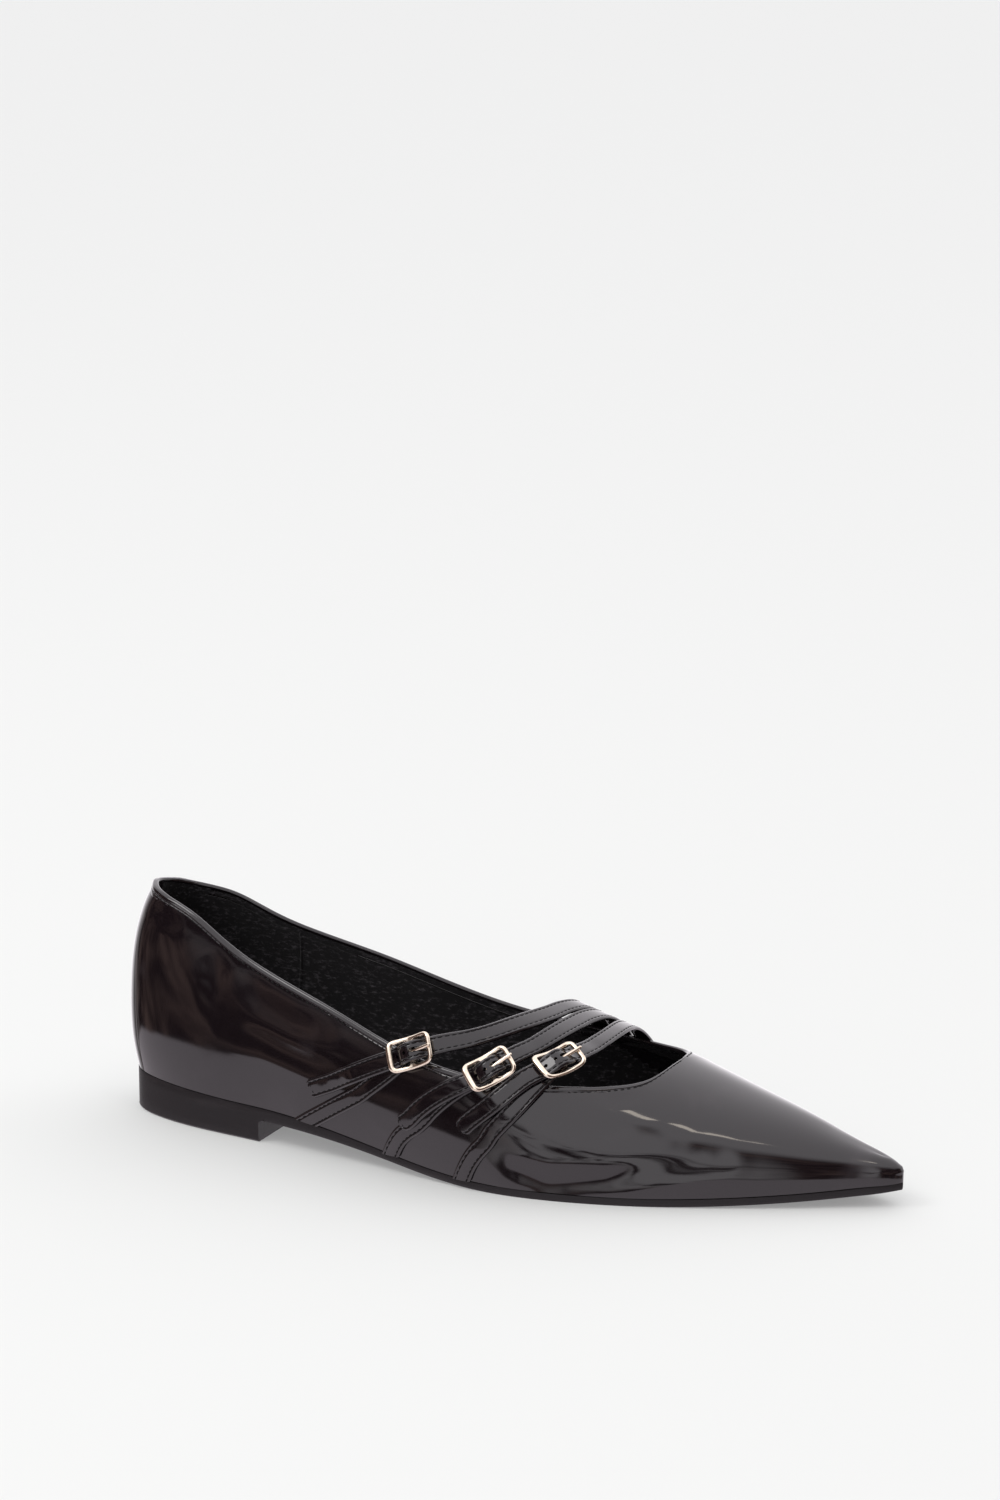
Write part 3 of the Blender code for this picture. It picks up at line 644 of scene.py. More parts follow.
@dataclass
class Trail:
    """A smooth line with a direction across and one away at every point, measured in metres."""

    middle: np.ndarray
    reach: np.ndarray
    away: np.ndarray
    closed: bool = False
    walked: np.ndarray = field(init=False)

    def __post_init__(self) -> None:
        """Measures the line."""
        points = np.vstack([self.middle, self.middle[:1]]) if self.closed else self.middle
        self.walked = np.concatenate([[0], np.cumsum(np.linalg.norm(np.diff(points, axis=0), axis=1))])

    @property
    def length(self) -> float:
        """The line's whole length."""
        return float(self.walked[-1])

    def _curve(self, values: np.ndarray, distance: np.ndarray) -> np.ndarray:
        """Interpolates rows of values by a cubic.

        Args:
            values: a row for each point of the line.
            distance: metres from the start.

        Returns:
            A row for each distance.
        """
        count = len(values)
        if self.closed:
            distance = np.mod(distance, self.length)
        k = np.clip(np.searchsorted(self.walked, distance, side="right") - 1, 0, len(self.walked) - 2)
        t = ((distance - self.walked[k]) / (self.walked[k + 1] - self.walked[k]))[:, None]

        def pick(index: np.ndarray) -> np.ndarray:
            """Rows by index, round the loop or carried on straight past an end.

            Args:
                index: the rows wanted.

            Returns:
                Those rows.
            """
            if self.closed:
                return values[np.mod(index, count)]
            before, after = 2 * values[0] - values[1], 2 * values[-1] - values[-2]
            padded = np.vstack([before, values, after])
            return padded[np.clip(index, -1, count) + 1]

        a, b, c, d = pick(k - 1), pick(k), pick(k + 1), pick(k + 2)
        return b + 0.5 * t * (c - a + t * (2 * a - 5 * b + 4 * c - d + t * (3 * (b - c) + d - a)))

    def at(self, distance: np.ndarray) -> tuple[np.ndarray, np.ndarray, np.ndarray]:
        """Middle points, half widths and directions away at distances.

        Args:
            distance: metres from the start.

        Returns:
            Three arrays with a row for each distance.
        """
        distance = np.atleast_1d(np.asarray(distance, float))
        away = self._curve(self.away, distance)
        away /= np.linalg.norm(away, axis=1, keepdims=True)
        return self._curve(self.middle, distance), self._curve(self.reach, distance), away

    def nearest(self, point: Vector) -> float:
        """Finds where the line passes a point.

        Args:
            point: a place beside the line.

        Returns:
            The distance from the line's start.
        """
        marks = np.linspace(0, self.length, 1200)
        gaps = np.linalg.norm(self._curve(self.middle, marks) - np.array(point), axis=1)
        return float(marks[np.argmin(gaps)])


class Walk:
    """Walks over a mesh of quads."""

    @staticmethod
    def straight_on(vertex: bmesh.types.BMVert, edge: bmesh.types.BMEdge) -> Optional[bmesh.types.BMEdge]:
        """Goes on from a vertex in line with the edge that led to it.

        Args:
            vertex: where the walk stands.
            edge: the edge that it came along.

        Returns:
            The next edge, or None where there is no single one.
        """
        behind = set(edge.link_faces)
        ahead = [other for other in vertex.link_edges if other is not edge
                 and not behind & set(other.link_faces)]
        return ahead[0] if len(ahead) == 1 else None

    @classmethod
    def loop(cls, start: bmesh.types.BMVert, edge: bmesh.types.BMEdge) -> list[bmesh.types.BMVert]:
        """Walks round an edge loop.

        Args:
            start: the first vertex.
            edge: the edge that the loop leaves it by.

        Returns:
            The loop's vertices in order.
        """
        found = [start]
        vertex = edge.other_vert(start)
        while vertex is not start:
            found.append(vertex)
            edge = cls.straight_on(vertex, edge)
            vertex = edge.other_vert(vertex)
        return found

    @staticmethod
    def rungs(mesh: bmesh.types.BMesh, height: float) -> list[list[bmesh.types.BMEdge]]:
        """The two rows of short upright edges along a band's sides.

        Args:
            mesh: the band's merged mesh.
            height: length of an upright edge.

        Returns:
            The two longest ladders of such edges, each in order along the band.
        """
        tolerance = 0.3 * height

        def is_rung(edge: bmesh.types.BMEdge) -> bool:
            """Whether an edge has the length of an upright one."""
            return abs(edge.calc_length() - height) < tolerance

        def middle(edge: bmesh.types.BMEdge) -> Vector:
            """An edge's middle."""
            return (edge.verts[0].co + edge.verts[1].co) / 2

        seen: set[bmesh.types.BMEdge] = set()

        def climb(edge: bmesh.types.BMEdge, face: bmesh.types.BMFace) -> list[bmesh.types.BMEdge]:
            """Rungs met from one edge onwards, until the ladder ends or turns a corner.

            Args:
                edge: the rung to leave.
                face: the face to cross first.

            Returns:
                The rungs in the order met.
            """
            found: list[bmesh.types.BMEdge] = []
            heading: Optional[Vector] = None
            while face is not None and len(face.verts) == 4:
                here = edge
                edge = next(e for e in face.edges if not set(e.verts) & set(here.verts))
                step = middle(edge) - middle(here)
                turned = heading is not None and step.angle(heading) > math.radians(55)
                if edge in seen or not is_rung(edge) or turned:
                    break
                seen.add(edge)
                found.append(edge)
                heading = step
                face = next((f for f in edge.link_faces if f is not face), None)
            return found

        ladders = []
        for edge in mesh.edges:
            if edge in seen or not is_rung(edge) or len(edge.link_faces) != 2:
                continue
            seen.add(edge)
            ways = [climb(edge, face) for face in edge.link_faces]
            ladders.append(ways[0][::-1] + [edge] + ways[1])
        return sorted(ladders, key=len)[-2:]


# the pieces


@dataclass(frozen=True)
class Crease:
    """A soft trough in the leather, with a low ridge beside it.

    The points are places near the outer skin; the trough runs from one to the next.
    """

    points: tuple[tuple[float, float, float], ...]
    width: float
    depth: float

    def offsets(self, skin: np.ndarray) -> np.ndarray:
        """Works out how far the skin moves.

        Args:
            skin: points of the upper's skin.

        Returns:
            The way outward of each point, in metres.
        """
        best = np.full(len(skin), np.inf)
        share = np.zeros(len(skin))
        line = np.array(self.points) * MM
        for k, (start, end) in enumerate(zip(line, line[1:])):
            way = end - start
            along = np.clip((skin - start) @ way / (way @ way), 0, 1)
            gap = np.linalg.norm(skin - start - along[:, None] * way, axis=1)
            nearer = gap < best
            best[nearer] = gap[nearer]
            share[nearer] = (k + along[nearer]) / (len(line) - 1)
        across = best / (self.width * MM)
        fade = np.sin(np.pi * np.clip(share, 0.04, 0.96)) ** 0.6
        return self.depth * MM * fade * (0.45 * np.exp(-((across - 1.7) / 0.8) ** 2) - np.exp(-across ** 2))


@dataclass
class Upper:
    """Vamp, sides and counter, with the lining inside and the topline's folded edge."""

    node: bpy.types.Object
    wall: float = 1.5 * MM
    crown: float = 0.63 * MM
    toe_reach: float = 14 * MM
    bead: float = 0.16 * MM
    fold_profile: tuple[tuple[float, float], ...] = (
        (0.15, 0.19), (0.40, 0.20), (0.62, 0.13), (0.78, 0.03), (0.92, -0.03), (1.06, 0.03),
        (1.22, 0.12), (1.50, 0.16), (2.00, 0.13), (2.60, 0.07), (3.10, 0.02), (3.25, -0.06),
    )
    stitch_depth: float = 0.92 * MM
    creases: tuple[Crease, ...] = (
        Crease(((117, -38, 17), (122, -38, 10), (134, -36, 7), (152, -32, 9), (172, -25, 14), (184, -19, 17)),
               4.0, 0.40),
        Crease(((125, -36, 26), (140, -33, 23), (156, -28, 22), (171, -21, 22)), 3.0, 0.30),
        Crease(((143, -22, 33), (150, -22, 31), (157, -17, 32)), 2.4, 0.22),
        Crease(((-21, -9, 70), (-15, -14, 68), (-8, -16, 66)), 2.2, 0.35),
        Crease(((4, -20, 60), (9, -21, 53), (12, -22, 44)), 4.5, 0.35),
        Crease(((20, -23, 52), (28, -24, 47), (40, -27, 43), (52, -28, 42)), 3.6, 0.32),
        Crease(((14, -24, 36), (30, -27, 35), (48, -30, 31), (62, -31, 30)), 3.0, 0.26),
        Crease(((118, 41, 22), (134, 41, 16), (150, 38, 15), (165, 35, 18)), 4.0, 0.40),
        Crease(((40, 20, 44), (55, 21, 38), (70, 24, 32)), 4.5, 0.30),
        Crease(((-18, 12, 66), (-11, 15, 64), (-3, 16, 64)), 2.4, 0.30),
    )
    seam_ends: tuple[tuple[float, float], ...] = ((19.5, 57.5), (14.5, 21.0))
    seam_half: float = 0.55 * MM
    seam_height: float = 0.28 * MM
    grip: float = 0.45 * MM

    def build(self) -> bpy.types.Object:
        """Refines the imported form, presses in the creases and lines the inside.

        Returns:
            The finished upper.
        """
        self.collar = self._collar()
        piece = Bench.merged_copy(self.node, "upper_leather")
        Bench.hard_edges(piece, lambda edge: sum(face.normal.z < -0.8 for face in edge.link_faces) == 1)
        Bench.subdivide(piece, 2)
        self._fill_toe(piece)
        self.tree = Bench.tree(piece)
        self._split_lining(piece)
        skin, heading = Bench.points(piece), Bench.normals(piece)
        outside = np.array([not self._faces_inside(Vector(p), Vector(n)) for p, n in zip(skin, heading)])
        shift = sum(crease.offsets(skin) for crease in self.creases) * outside
        Bench.move(piece, skin + heading * shift[:, None])
        Bench.smooth(piece, 60)
        self.tree = Bench.tree(piece)
        return Bench.dress(piece, PatentLeather(), Slot.PATENT, "upper")

    def _fill_toe(self, piece: bpy.types.Object) -> None:
        """Draws the toe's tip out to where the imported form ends, which refining pulled back.

        Args:
            piece: the refined upper.
        """
        points = Bench.points(piece)
        tip, packed = points[:, 0].max(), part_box("upper")[1][0]
        share = np.clip((points[:, 0] - tip) / self.toe_reach + 1, 0, 1)
        points[:, 0] += (packed - tip) * share ** 2
        Bench.move(piece, points)

    def _faces_inside(self, point: Vector, normal: Vector) -> bool:
        """Whether a point of the skin looks into the shoe."""
        hit = self.tree.ray_cast(point + normal * 0.3 * MM, normal, 0.12)[0]
        return hit is not None

    def _split_lining(self, piece: bpy.types.Object) -> None:
        """Gives the faces that look into the shoe the lining's finish.

        Args:
            piece: the refined upper.
        """
        piece.data.materials.append(PatentLeather().material())
        piece.data.materials.append(NappedLining().material())
        for face in piece.data.polygons:
            face.material_index = int(self._faces_inside(face.center, face.normal))

    def _collar(self) -> Trail:
        """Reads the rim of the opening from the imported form.

        Returns:
            The rim's top, half the wall across it, and the way up out of the wall.
        """
        mesh = Bench.welded(self.node)
        back = max(mesh.verts, key=lambda v: v.co.z - abs(v.co.y) / 2)
        sideways = max(back.link_edges, key=lambda e: abs(e.other_vert(back).co.y - back.co.y))
        rim = Walk.loop(back, sideways)
        centre = sum((v.co for v in rim), Vector()) / len(rim)
        middle, reach, away = [], [], []
        for k, vertex in enumerate(rim):
            around = [rim[k - 1].co, rim[(k + 1) % len(rim)].co]
            beside = [e.other_vert(vertex).co for e in vertex.link_edges]
            beside = [foot for foot in beside if foot not in around]
            inner, outer = sorted(beside, key=lambda foot: (foot - vertex.co).dot(vertex.co - centre))
            middle.append(vertex.co[:])
            reach.append(((outer - inner).normalized() * self.wall / 2)[:])
            away.append((vertex.co - (outer + inner) / 2).normalized()[:])
        mesh.free()
        return Trail(np.array(middle), np.array(reach), np.array(away), closed=True)

    def fold(self) -> bpy.types.Object:
        """Models the leather turned over the rim: a bead, the stitches' groove and the pad below it.

        Returns:
            The finished fold.
        """
        half, steps = self.wall / 2, np.array(self.fold_profile) * MM
        outside = [(half + proud, -self.crown - depth, proud) for depth, proud in steps]
        arc = [((half + self.bead) * math.cos(a), (self.crown + self.bead) * math.sin(a) - self.crown,
                self.bead) for a in np.linspace(0, math.pi, 9)]
        inside = [(-across, lift, proud) for across, lift, proud in outside[:4]]
        root = [(-0.3 * half, inside[-1][1], 0.0), (0.3 * half, outside[-1][1], 0.0)]
        section = np.array([*outside[::-1], *arc, *inside, *root])
        piece = swept_band("topline_fold", self.collar, section[:, :2], spacing=1.3 * MM, in_reach=False)
        proud = np.interp(Bench.marks(piece), np.arange(len(section) + 1), [*section[:, 2], section[0, 2]])
        skin = Bench.points(piece)
        for k, point in enumerate(skin):
            near, normal, _, gap = self.tree.find_nearest(Vector(point))
            if gap < self.grip:
                skin[k] = near + normal * proud[k]
        Bench.move(piece, skin)
        Bench.smooth(piece, 60)
        return Bench.dress(piece, PatentLeather(), Slot.PATENT)

    def stitch_frames(self, pitch: float) -> list[tuple[Vector, Vector, Vector]]:
        """Places the stitches along the fold.

        Args:
            pitch: length from one stitch to the next.

        Returns:
            Each stitch as a point, the way along and the way out.
        """
        count = int(self.collar.length / pitch)
        marks = np.linspace(0, self.collar.length, count, endpoint=False)
        middle, reach, away = self.collar.at(marks)
        out = reach / np.linalg.norm(reach, axis=1, keepdims=True)
        guess = middle + reach - away * (self.stitch_depth + self.crown)
        frames = []
        for k in range(count):
            point, normal = self.tree.find_nearest(Vector(guess[k] + out[k] * 0.6 * MM))[:2]
            ahead = Vector(middle[(k + 1) % count] - middle[k - 1])
            frames.append((point, (ahead - normal * ahead.dot(normal)).normalized(), normal))
        return frames

    def seam(self, side: Side) -> bpy.types.Object:
        """Models the upright seam where the lining of the heel meets that of the side.

        Args:
            side: the side of the shoe.

        Returns:
            The seam's ridge.
        """
        (top_x, top_z), (foot_x, foot_z) = self.seam_ends
        frames = []
        for share in np.linspace(0, 1, 26):
            x, z = top_x + (foot_x - top_x) * share, top_z + (foot_z - top_z) * share
            start = Vector((x, 0, z)) * MM
            point, normal, _, _ = self.tree.ray_cast(start, Vector((0, side.value, 0)))
            frames.append((point, normal))
        middle = np.array([point[:] for point, _ in frames])
        away = np.array([normal[:] for _, normal in frames])
        along = np.gradient(middle, axis=0)
        across = np.cross(away, along)
        reach = across / np.linalg.norm(across, axis=1, keepdims=True) * self.seam_half
        turns = np.linspace(0, 2 * math.pi, 11)[:-1]
        section = [(math.cos(a), self.seam_height * math.sin(a)) for a in turns]
        piece = swept_band(f"lining_seam_{side.name.lower()}", Trail(middle, reach, away), section, 1.0 * MM)
        Bench.smooth(piece)
        return Bench.dress(piece, NappedLining(), Slot.LINING)


def swept_band(name: str, trail: Trail, section: Sequence[tuple[float, float]], spacing: float,
               in_reach: bool = True) -> bpy.types.Object:
    """Wraps a grid round a section along a trail.

    Args:
        name: the piece's name.
        trail: the line that the section follows.
        section: closed outline as (across, away) pairs; away is in metres.
        spacing: distance between rings of vertices.
        in_reach: whether across counts in half widths of the trail, or else in metres.

    Returns:
        The closed band, with its normals outward.
    """
    rings = max(3, int(trail.length / spacing))
    around = len(section)
    bpy.ops.object.select_all(action="DESELECT")
    bpy.ops.mesh.primitive_grid_add(x_subdivisions=rings, y_subdivisions=around, size=2)
    piece = Bench.keep(name)
    flat = Bench.points(piece)
    marks = (flat[:, 0] + 1) / 2 * trail.length
    outline = np.array([*section, section[0]])
    turn = (flat[:, 1] + 1) / 2 * around
    across, lift = (np.interp(turn, np.arange(around + 1), outline[:, k]) for k in (0, 1))
    middle, reach, away = trail.at(marks)
    if not in_reach:
        reach = reach / np.linalg.norm(reach, axis=1, keepdims=True)
    Bench.move(piece, middle + reach * across[:, None] + away * lift[:, None])
    piece.data.attributes.new("turn", "FLOAT", "POINT").data.foreach_set("value", turn)

    def close() -> None:
        """Joins the grid's edges, closes its ends and turns its faces outward."""
        bpy.ops.mesh.remove_doubles(threshold=0.004 * MM)
        bpy.ops.mesh.select_all(action="SELECT")
        bpy.ops.mesh.fill_holes(sides=around + 2)
        bpy.ops.mesh.normals_make_consistent(inside=False)

    Bench.edit(piece, close)
    return piece


@dataclass
class Band:
    """A strap or a chape: leather folded in along both edges, with a row of stitches inside each."""

    node: bpy.types.Object
    skin: BVHTree
    half_width: float
    thickness: float
    chamfer: float = 0.25 * MM
    edge_round: float = 0.62 * MM
    stitch_inset: float = 1.15 * MM
    groove: float = 0.18 * MM

    def __post_init__(self) -> None:
        """Reads the line along the middle of the band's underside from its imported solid."""
        mesh = Bench.welded(self.node)
        ladders = Walk.rungs(mesh, self.thickness - self.chamfer)
        if len(ladders[0]) < len(ladders[1]) / 2:
            half = len(ladders[1]) // 2
            ladders = [ladders[1][:half], ladders[1][-half:]]
        (left_low, left_high), (right_low, right_high) = (self._lines(ladder) for ladder in ladders)
        mesh.free()
        if np.linalg.norm(left_low[0] - right_low[0]) > np.linalg.norm(left_low[0] - right_low[-1]):
            right_low, right_high = right_low[::-1], right_high[::-1]
        away = (left_high - left_low) + (right_high - right_low)
        away /= np.linalg.norm(away, axis=1, keepdims=True)
        self.trail = Trail((left_low + right_low) / 2, (right_low - left_low) / 2, away)

    def _lines(self, ladder: list[bmesh.types.BMEdge]) -> list[np.ndarray]:
        """Reads the two long lines of a ladder.

        Args:
            ladder: its rungs in order.

        Returns:
            The points of both lines, the one nearer the shoe first.
        """
        one, other = [ladder[0].verts[0]], [ladder[0].verts[1]]
        for edge in ladder[1:]:
            linked = {e.other_vert(one[-1]) for e in one[-1].link_edges}
            here = next(v for v in edge.verts if v in linked and v is not other[-1])
            one.append(here)
            other.append(edge.other_vert(here))
        gaps = [[self.skin.find_nearest(v.co)[3] for v in line] for line in (one, other)]
        close = [k for k in range(len(ladder)) if min(gaps[0][k], gaps[1][k]) < 3 * MM]
        lines = [np.array([v.co[:] for v in line]) for line in (one, other)]
        return lines if sum(gaps[0][k] - gaps[1][k] for k in close) < 0 else lines[::-1]

    def start_from(self, point: Vector, near: bool) -> float:
        """Turns the line round if need be.

        Args:
            point: a place beside the band.
            near: whether the line is to start at the end near the place, or else at the far end.

        Returns:
            The distance at which the line passes the place.
        """
        at = self.trail.nearest(point)
        if (at < self.trail.length / 2) == near:
            return at
        self.trail = Trail(self.trail.middle[::-1], self.trail.reach[::-1], self.trail.away[::-1])
        return self.trail.nearest(point)

    def _section(self) -> list[tuple[float, float]]:
        """Draws the band's outline: rounded folds, a groove under each row of stitches, a flat back.

        Returns:
            Points as (share of the half width, height) pairs.
        """
        half, top = self.half_width, self.thickness
        marks = [0, 0.04, 0.11, 0.21, 0.34, 0.50, 0.68, 0.84, 0.96, 1.06, 1.15, 1.24, 1.34, 1.46, 1.66, 2.2]
        upper = []
        for inward in (mark * MM for mark in marks):
            fall = max(0.0, 1 - inward / self.edge_round)
            round_off = self.edge_round * (1 - math.sqrt(max(0.0, 1 - fall ** 2)))
            dip = self.groove * math.exp(-((inward - self.stitch_inset) / (0.24 * MM)) ** 2)
            pad = 0.07 * MM * math.exp(-((inward - 0.68 * MM) / (0.28 * MM)) ** 2)
            upper.append((1 - inward / half, top - round_off - dip + pad))
        outline = [(-u, h) for u, h in upper] + [(0.0, top + 0.04 * MM)] + upper[::-1]
        return [*outline, (1.0, 0.12 * MM), (0.97, 0.0), (-0.97, 0.0), (-1.0, 0.12 * MM)]

    def build(self, name: str) -> bpy.types.Object:
        """Models the band along its line."""
        return swept_band(name, self.trail, self._section(), spacing=0.9 * MM)

    def spread(self, share: float, reach: float) -> None:
        """Widens the band over the instep.

        Args:
            share: how much wider it is at its highest point.
            reach: distance along it within which that fades.
        """
        crest = self.trail.walked[np.argmax(self.trail.middle[:, 2])]
        more = 1 + share * np.exp(-((self.trail.walked - crest) / reach) ** 2)
        self.trail.reach = self.trail.reach * more[:, None]

    def stitch_frames(self, pitch: float, ends: tuple[float, float],
                      crossing: bool) -> list[tuple[Vector, Vector, Vector]]:
        """Places of the stitches along both edges.

        Args:
            pitch: length from one stitch to the next.
            ends: where the rows start and stop, as distances along the band.
            crossing: whether the rows are joined across the band at their start.

        Returns:
            Each stitch as a point, the way along and the way out.
        """
        share = 1 - self.stitch_inset / self.half_width
        start, stop = ends
        marks = np.arange(start, stop, pitch)
        frames = []
        for sign in (-1, 1):
            middle, reach, away = self.trail.at(marks)
            line = middle + reach * share * sign + away * (self.thickness - 0.5 * self.groove)
            along = np.gradient(line, axis=0)
            frames += [(Vector(p), Vector(a).normalized(), Vector(n)) for p, a, n in zip(line, along, away)]
        if crossing:
            middle, reach, away = (row[0] for row in self.trail.at(start))
            count = max(2, int(2 * share * np.linalg.norm(reach) / pitch))
            for place in (np.arange(count) + 0.5) / count * 2 - 1:
                point = middle + reach * share * place + away * (self.thickness - 0.5 * self.groove)
                frames.append((Vector(point), Vector(reach).normalized(), Vector(away)))
        return frames

    def punch(self, piece: bpy.types.Object, at: float, half_length: float, half_width: float) -> None:
        """Cuts an upright hole through the band.

        Args:
            piece: the band's mesh.
            at: the hole's distance along the band.
            half_length: half its size along the band.
            half_width: half its size across.
        """
        middle, reach, away = (Vector(row[0]) for row in self.trail.at(at))
        across = reach.normalized()
        along = across.cross(away).normalized()
        place = Matrix((along, across, away)).transposed().to_4x4()
        place.translation = middle
        bpy.ops.object.select_all(action="DESELECT")
        bpy.ops.mesh.primitive_cylinder_add(vertices=20, radius=1, depth=6 * MM)
        cutter = bpy.context.active_object
        cutter.matrix_world = place @ Matrix.Diagonal((half_length, half_width, 1, 1))
        bpy.ops.object.transform_apply(location=True, rotation=True, scale=True)
        Bench.modify(piece, "BOOLEAN", object=cutter, operation="DIFFERENCE", solver="EXACT")
        bpy.data.objects.remove(cutter, do_unlink=True)


@dataclass
class Stitching:
    """Rows of waxed thread, one stitch repeated along them."""

    length: float = 1.62 * MM
    width: float = 0.50 * MM
    height: float = 0.34 * MM
    pitch: float = 2.1 * MM

    def _stitch(self) -> tuple[np.ndarray, list[list[int]]]:
        """Models one stitch lying along X.

        Returns:
            Its points and its faces.
        """
        bpy.ops.object.select_all(action="DESELECT")
        bpy.ops.mesh.primitive_uv_sphere_add(segments=8, ring_count=6, radius=0.5)
        pattern = bpy.context.active_object

        def shape() -> None:
            """Draws the ball out to a stitch whose ends dip into the leather."""
            bpy.ops.transform.rotate(value=math.pi / 2, orient_axis="Y", center_override=(0, 0, 0))
            bpy.ops.transform.resize(value=(self.length, self.width, self.height),
                                     center_override=(0, 0, 0))

        Bench.edit(pattern, shape)
        points = Bench.points(pattern)
        points[:, 2] -= 0.35 * self.height * (2 * points[:, 0] / self.length) ** 2
        faces = [list(face.vertices) for face in pattern.data.polygons]
        bpy.data.objects.remove(pattern, do_unlink=True)
        return points, faces

    def sew(self, name: str, frames: Iterable[tuple[Vector, Vector, Vector]]) -> bpy.types.Object:
        """Makes one piece of all the stitches of a row.

        Args:
            name: the piece's name.
            frames: point, way along and way out of each stitch.

        Returns:
            The finished piece.
        """
        points, faces = self._stitch()
        rows, polygons = [], []
        for k, (point, along, out) in enumerate(frames):
            across = out.cross(along).normalized()
            turn = np.array([along[:], across[:], out.normalized()[:]])
            rows.append(points @ turn + np.array(point))
            polygons += [[corner + k * len(points) for corner in face] for face in faces]
        mesh = bpy.data.meshes.new(name)
        mesh.from_pydata(np.vstack(rows).tolist(), [], polygons)
        piece = bpy.data.objects.new(name, mesh)
        bpy.context.scene.collection.objects.link(piece)
        Bench.edit(piece, lambda: bpy.ops.mesh.normals_make_consistent(inside=False))
        Bench.smooth(piece, 80)
        return Bench.dress(piece, WaxedThread(), Slot.PATENT)


@dataclass
class StrapSet:
    """One strap with its chape, buckle and prong."""

    number: int
    nodes: dict[str, bpy.types.Object]
    skin: BVHTree
    strap_half: float = 3.2 * MM
    strap_thickness: float = 1.0 * MM
    chape_half: float = 3.0 * MM
    chape_thickness: float = 0.8 * MM
    hole_radius: float = 0.6 * MM
    hole_pitch: float = 3.7 * MM
    slot_after_bar: float = 2.4 * MM
    slot_half: tuple[float, float] = (1.9 * MM, 0.85 * MM)
    spread_share: float = 0.12
    spread_reach: float = 18 * MM
    row_margin: float = 0.3 * MM
    turn_length: float = 5.0 * MM
    buckle_swell: float = 0.13 * MM
    prong_swell: float = 0.26 * MM
    thread: Stitching = field(default_factory=Stitching)

    def node(self, kind: str) -> bpy.types.Object:
        """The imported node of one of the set's pieces."""
        return self.nodes[f"{kind}_{self.number}"]

    def build(self) -> None:
        """Models and dresses the whole set."""
        self._strap()
        self._chape()
        self._metal("buckle", self.buckle_swell)
        self._metal("prong", self.prong_swell)

    def _bar(self) -> Vector:
        """Finds the middle of the buckle's frame, where its bar is.

        Returns:
            The place.
        """
        points = Bench.points(self.node("buckle"))
        middle = points.mean(axis=0)
        axes = np.linalg.svd(points - middle, full_matrices=False)[2]
        across = (points - middle) @ axes.T
        return Vector(middle + (across.min(axis=0) + across.max(axis=0)) / 2 @ axes)

    def _strap(self) -> None:
        """The strap from its tail on, its slot, its punched holes and its rows of stitches."""
        band = Band(self.node("strap"), self.skin, self.strap_half, self.strap_thickness)
        slot = band.start_from(self._bar(), near=True) + self.slot_after_bar
        band.spread(self.spread_share, self.spread_reach)
        piece = band.build(f"strap_leather_{self.number}")
        band.punch(piece, slot, *self.slot_half)
        for step in (1, 2):
            band.punch(piece, slot - step * self.hole_pitch, self.hole_radius, self.hole_radius)
        Bench.smooth(piece, 42)
        Bench.dress(piece, StrapLeather(), Slot.PATENT, f"strap_{self.number}")
        ends = (band.stitch_inset, band.trail.length - self.row_margin)
        self.thread.sew(f"strap_stitches_{self.number}", band.stitch_frames(self.thread.pitch, ends, True))

    def _chape(self) -> None:
        """The chape from its foot on and its stitches, up to where it turns round the bar."""
        band = Band(self.node("chape"), self.skin, self.chape_half, self.chape_thickness)
        bar = band.start_from(self._bar(), near=False)
        piece = band.build(f"chape_leather_{self.number}")
        Bench.smooth(piece, 42)
        Bench.dress(piece, StrapLeather(), Slot.PATENT, f"chape_{self.number}")
        ends = (self.row_margin, bar - self.turn_length)
        self.thread.sew(f"chape_stitches_{self.number}", band.stitch_frames(self.thread.pitch, ends, False))

    def _metal(self, kind: str, swell: float) -> None:
        """Models the buckle's frame or its prong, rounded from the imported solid.

        Args:
            kind: which of the two.
            swell: how much fatter it is all round than its solid.
        """
        piece = Bench.merged_copy(self.node(kind), f"{kind}_plated_{self.number}")
        Bench.subdivide(piece, 2)
        Bench.move(piece, Bench.points(piece) + Bench.normals(piece) * swell)
        Bench.smooth(piece, 60)
        Bench.dress(piece, PlatedMetal(), Slot.METAL, f"{kind}_{self.number}")


@dataclass
class Bottom:
    """The moulded sole with its heel, and the insole."""

    sole: bpy.types.Object
    insole: bpy.types.Object
    corner: float = 0.25 * MM

    def build(self) -> None:
        """Models both pieces."""
        piece = Bench.merged_copy(self.sole, "sole_rubber")
        Bench.hard_edges(piece, lambda edge: edge.calc_face_angle(0) > math.radians(33))
        Bench.subdivide(piece, 2)
        Bench.modify(piece, "BEVEL", width=self.corner, segments=2, limit_method="ANGLE",
                     angle_limit=math.radians(40), use_clamp_overlap=True)
        Bench.smooth(piece, 40)
        Bench.dress(piece, MouldedRubber(), Slot.SOLE, "sole_unit")
        sock = Bench.merged_copy(self.insole, "insole_sock")
        Bench.subdivide(sock, 2)
        Bench.smooth(sock, 60)
        Bench.dress(sock, NappedLining(), Slot.LINING, "insole")


# the studio


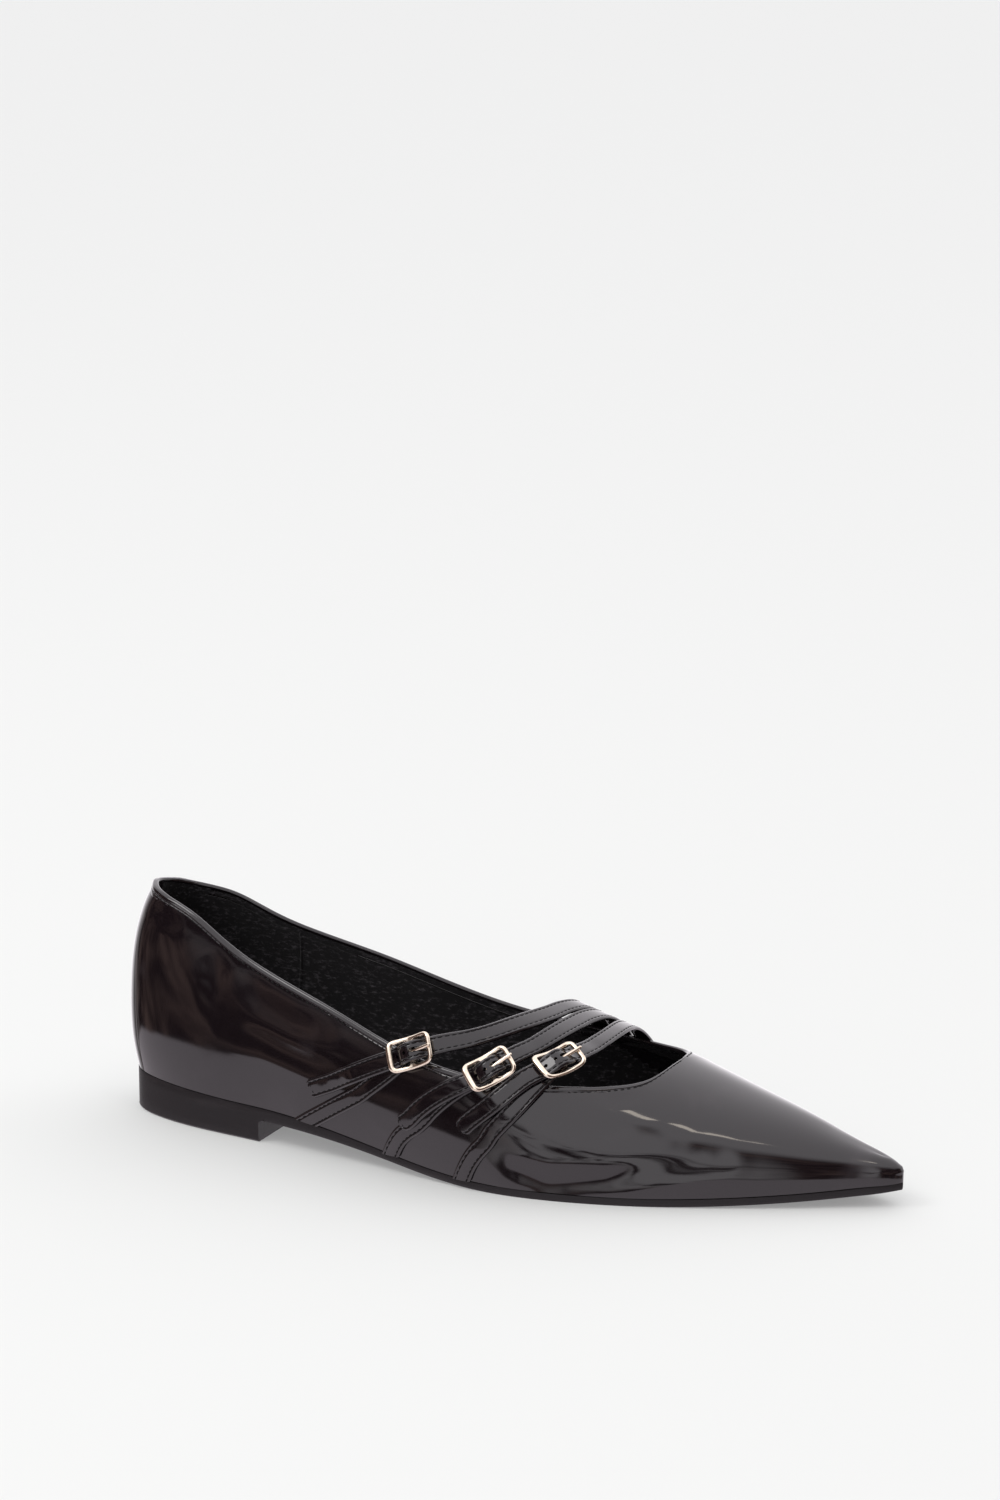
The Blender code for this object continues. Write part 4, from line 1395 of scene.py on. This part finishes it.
@dataclass
class Studio:
    """White paper, a pale room that is dark behind the camera, and the camera."""

    subject: Vector
    azimuth: float = 25.5
    elevation: float = 18.5
    distance: float = 1.65
    yaw: float = 25.674
    pitch: float = -15.088
    focal_length: float = 124.8
    tent: Colour = (1.36, 1.31, 1.36)
    paper: Colour = (1.00, 0.91, 0.98)
    haze: Colour = (0.46, 0.31, 0.27)
    room: Colour = (0.040, 0.026, 0.024)

    @property
    def towards_camera(self) -> Vector:
        """Level direction from the shoe to the camera."""
        turn = math.radians(self.azimuth)
        return Vector((math.sin(turn), -math.cos(turn), 0))

    def build(self) -> None:
        """Sets up floor, world, lamps and camera."""
        self._floor()
        self._world()
        self._lamps()
        self._camera()
        bpy.context.scene.view_settings.view_transform = "Standard"

    def _floor(self) -> None:
        """A sheet of paper that runs far back and ends in front of the camera's side."""
        bpy.ops.object.select_all(action="DESELECT")
        bpy.ops.mesh.primitive_plane_add(size=1)
        bpy.context.active_object.scale = (9.0, 9.0, 1.0)
        bpy.context.active_object.location = (0.0, 3.1, 0.0)
        floor = Bench.keep("studio_floor")
        floor.data.materials.append(PaperFloor().material())
        floor.visible_glossy = False

    def _world(self) -> None:
        """A light tent: open towards the heel, dark where the camera stands, paper below."""
        world = bpy.data.worlds.new("studio")
        bpy.context.scene.world = world
        world.use_nodes = True
        graph = Graph(world.node_tree)
        way = graph.add("ShaderNodeTexCoord", {}, {}, "Generated")
        height = graph.add("ShaderNodeSeparateXYZ", {}, {"Vector": way}, "Z")
        front = self.towards_camera
        ahead = graph.add("ShaderNodeVectorMath", {"operation": "DOT_PRODUCT"}, {0: way, 1: front}, "Value")
        aside = graph.add("ShaderNodeVectorMath", {"operation": "DOT_PRODUCT"},
                          {0: way, 1: Vector((-front.y, front.x, 0))}, "Value")
        wobble = graph.noise(2.4, 2, 0.5, way) - 0.5
        patches = graph.noise(3.6, 3, 0.6, way, warp=0.8)
        beside = aside.rise(-0.93, -0.50)
        tent = (height + beside * 0.60 + wobble * 0.30).rise(0.66, 0.88)
        lowered = 1 - (height + wobble * 0.2).rise(0.62, 0.86)
        camera = aside.rise(0.02, 0.13) * ahead.rise(-0.1, 0.3) * lowered
        back = (wobble * 0.2 - ahead).rise(0.60, 0.86)
        low = beside * patches.rise(0.38, 0.54) * height.rise(-0.48, -0.38) * 0.95
        warm = graph.blend(patches.rise(0.42, 0.80), self.room, self.haze)
        light = graph.blend((tent.larger(low) * (1 - camera)).larger(back), warm, self.tent)
        toeward = aside.rise(-0.25, 0.0)
        paper = (height + beside * 0.15 - toeward * 0.12 + wobble * 0.05).rise(-0.345, -0.325)
        shader = graph.add("ShaderNodeBackground", {},
                           {"Color": graph.blend(paper, self.paper, light), "Strength": 1.0})
        graph.add("ShaderNodeOutputWorld", {}, {"Surface": shader})

    def _lamps(self) -> None:
        """A soft lamp high at the camera's left, and a small warm one that shows on the vamp."""
        self._lamp("key", Vector((-0.75, -0.75, 1.45)), (0.6, 0.6), 5.0, (1.0, 0.98, 0.97))
        self._lamp("window", Vector((0.48, -0.27, 1.37)), (0.08, 0.24), 0.29, (1.0, 0.90, 0.76))

    def _lamp(self, name: str, place: Vector, size: tuple[float, float], power: float,
              colour: Colour) -> None:
        """Adds one flat lamp that faces the shoe.

        Args:
            name: the lamp's name.
            place: where it hangs.
            size: its two sides.
            power: watts.
            colour: its light.
        """
        lamp = bpy.data.lights.new(name, "AREA")
        lamp.shape, (lamp.size, lamp.size_y) = "RECTANGLE", size
        lamp.energy, lamp.color = power, colour
        holder = bpy.data.objects.new(name, lamp)
        holder.location = place
        holder.rotation_euler = (self.subject - place).to_track_quat("-Z", "Y").to_euler()
        bpy.context.scene.collection.objects.link(holder)

    def _camera(self) -> None:
        """The photograph's view, with the shoe low in an upright frame."""
        lens = bpy.data.cameras.new("camera")
        lens.lens = self.focal_length
        lens.sensor_width = lens.sensor_height = 36
        camera = bpy.data.objects.new("camera", lens)
        lift = math.radians(self.elevation)
        stand = self.towards_camera * math.cos(lift) + Vector((0, 0, math.sin(lift)))
        camera.location = self.subject + stand * self.distance
        camera.rotation_euler = (math.radians(90 + self.pitch), 0, math.radians(self.yaw))
        bpy.context.scene.collection.objects.link(camera)
        bpy.context.scene.camera = camera


def main() -> None:
    """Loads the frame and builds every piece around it."""
    logging.basicConfig(level=logging.INFO, format="%(name)s: %(message)s")
    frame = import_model()
    nodes = frame["nodes"]
    Studio(subject=Vector((107.5, -4, 33)) * MM).build()
    thread = Stitching()
    upper = Upper(nodes["upper"])
    upper.build()
    upper.fold()
    thread.sew("topline_stitches", upper.stitch_frames(thread.pitch))
    for side in Side:
        upper.seam(side)
    Bottom(nodes["sole_unit"], nodes["insole"]).build()
    for number in (1, 2, 3):
        StrapSet(number, nodes, upper.tree).build()


if __name__ == "__main__":
    main()
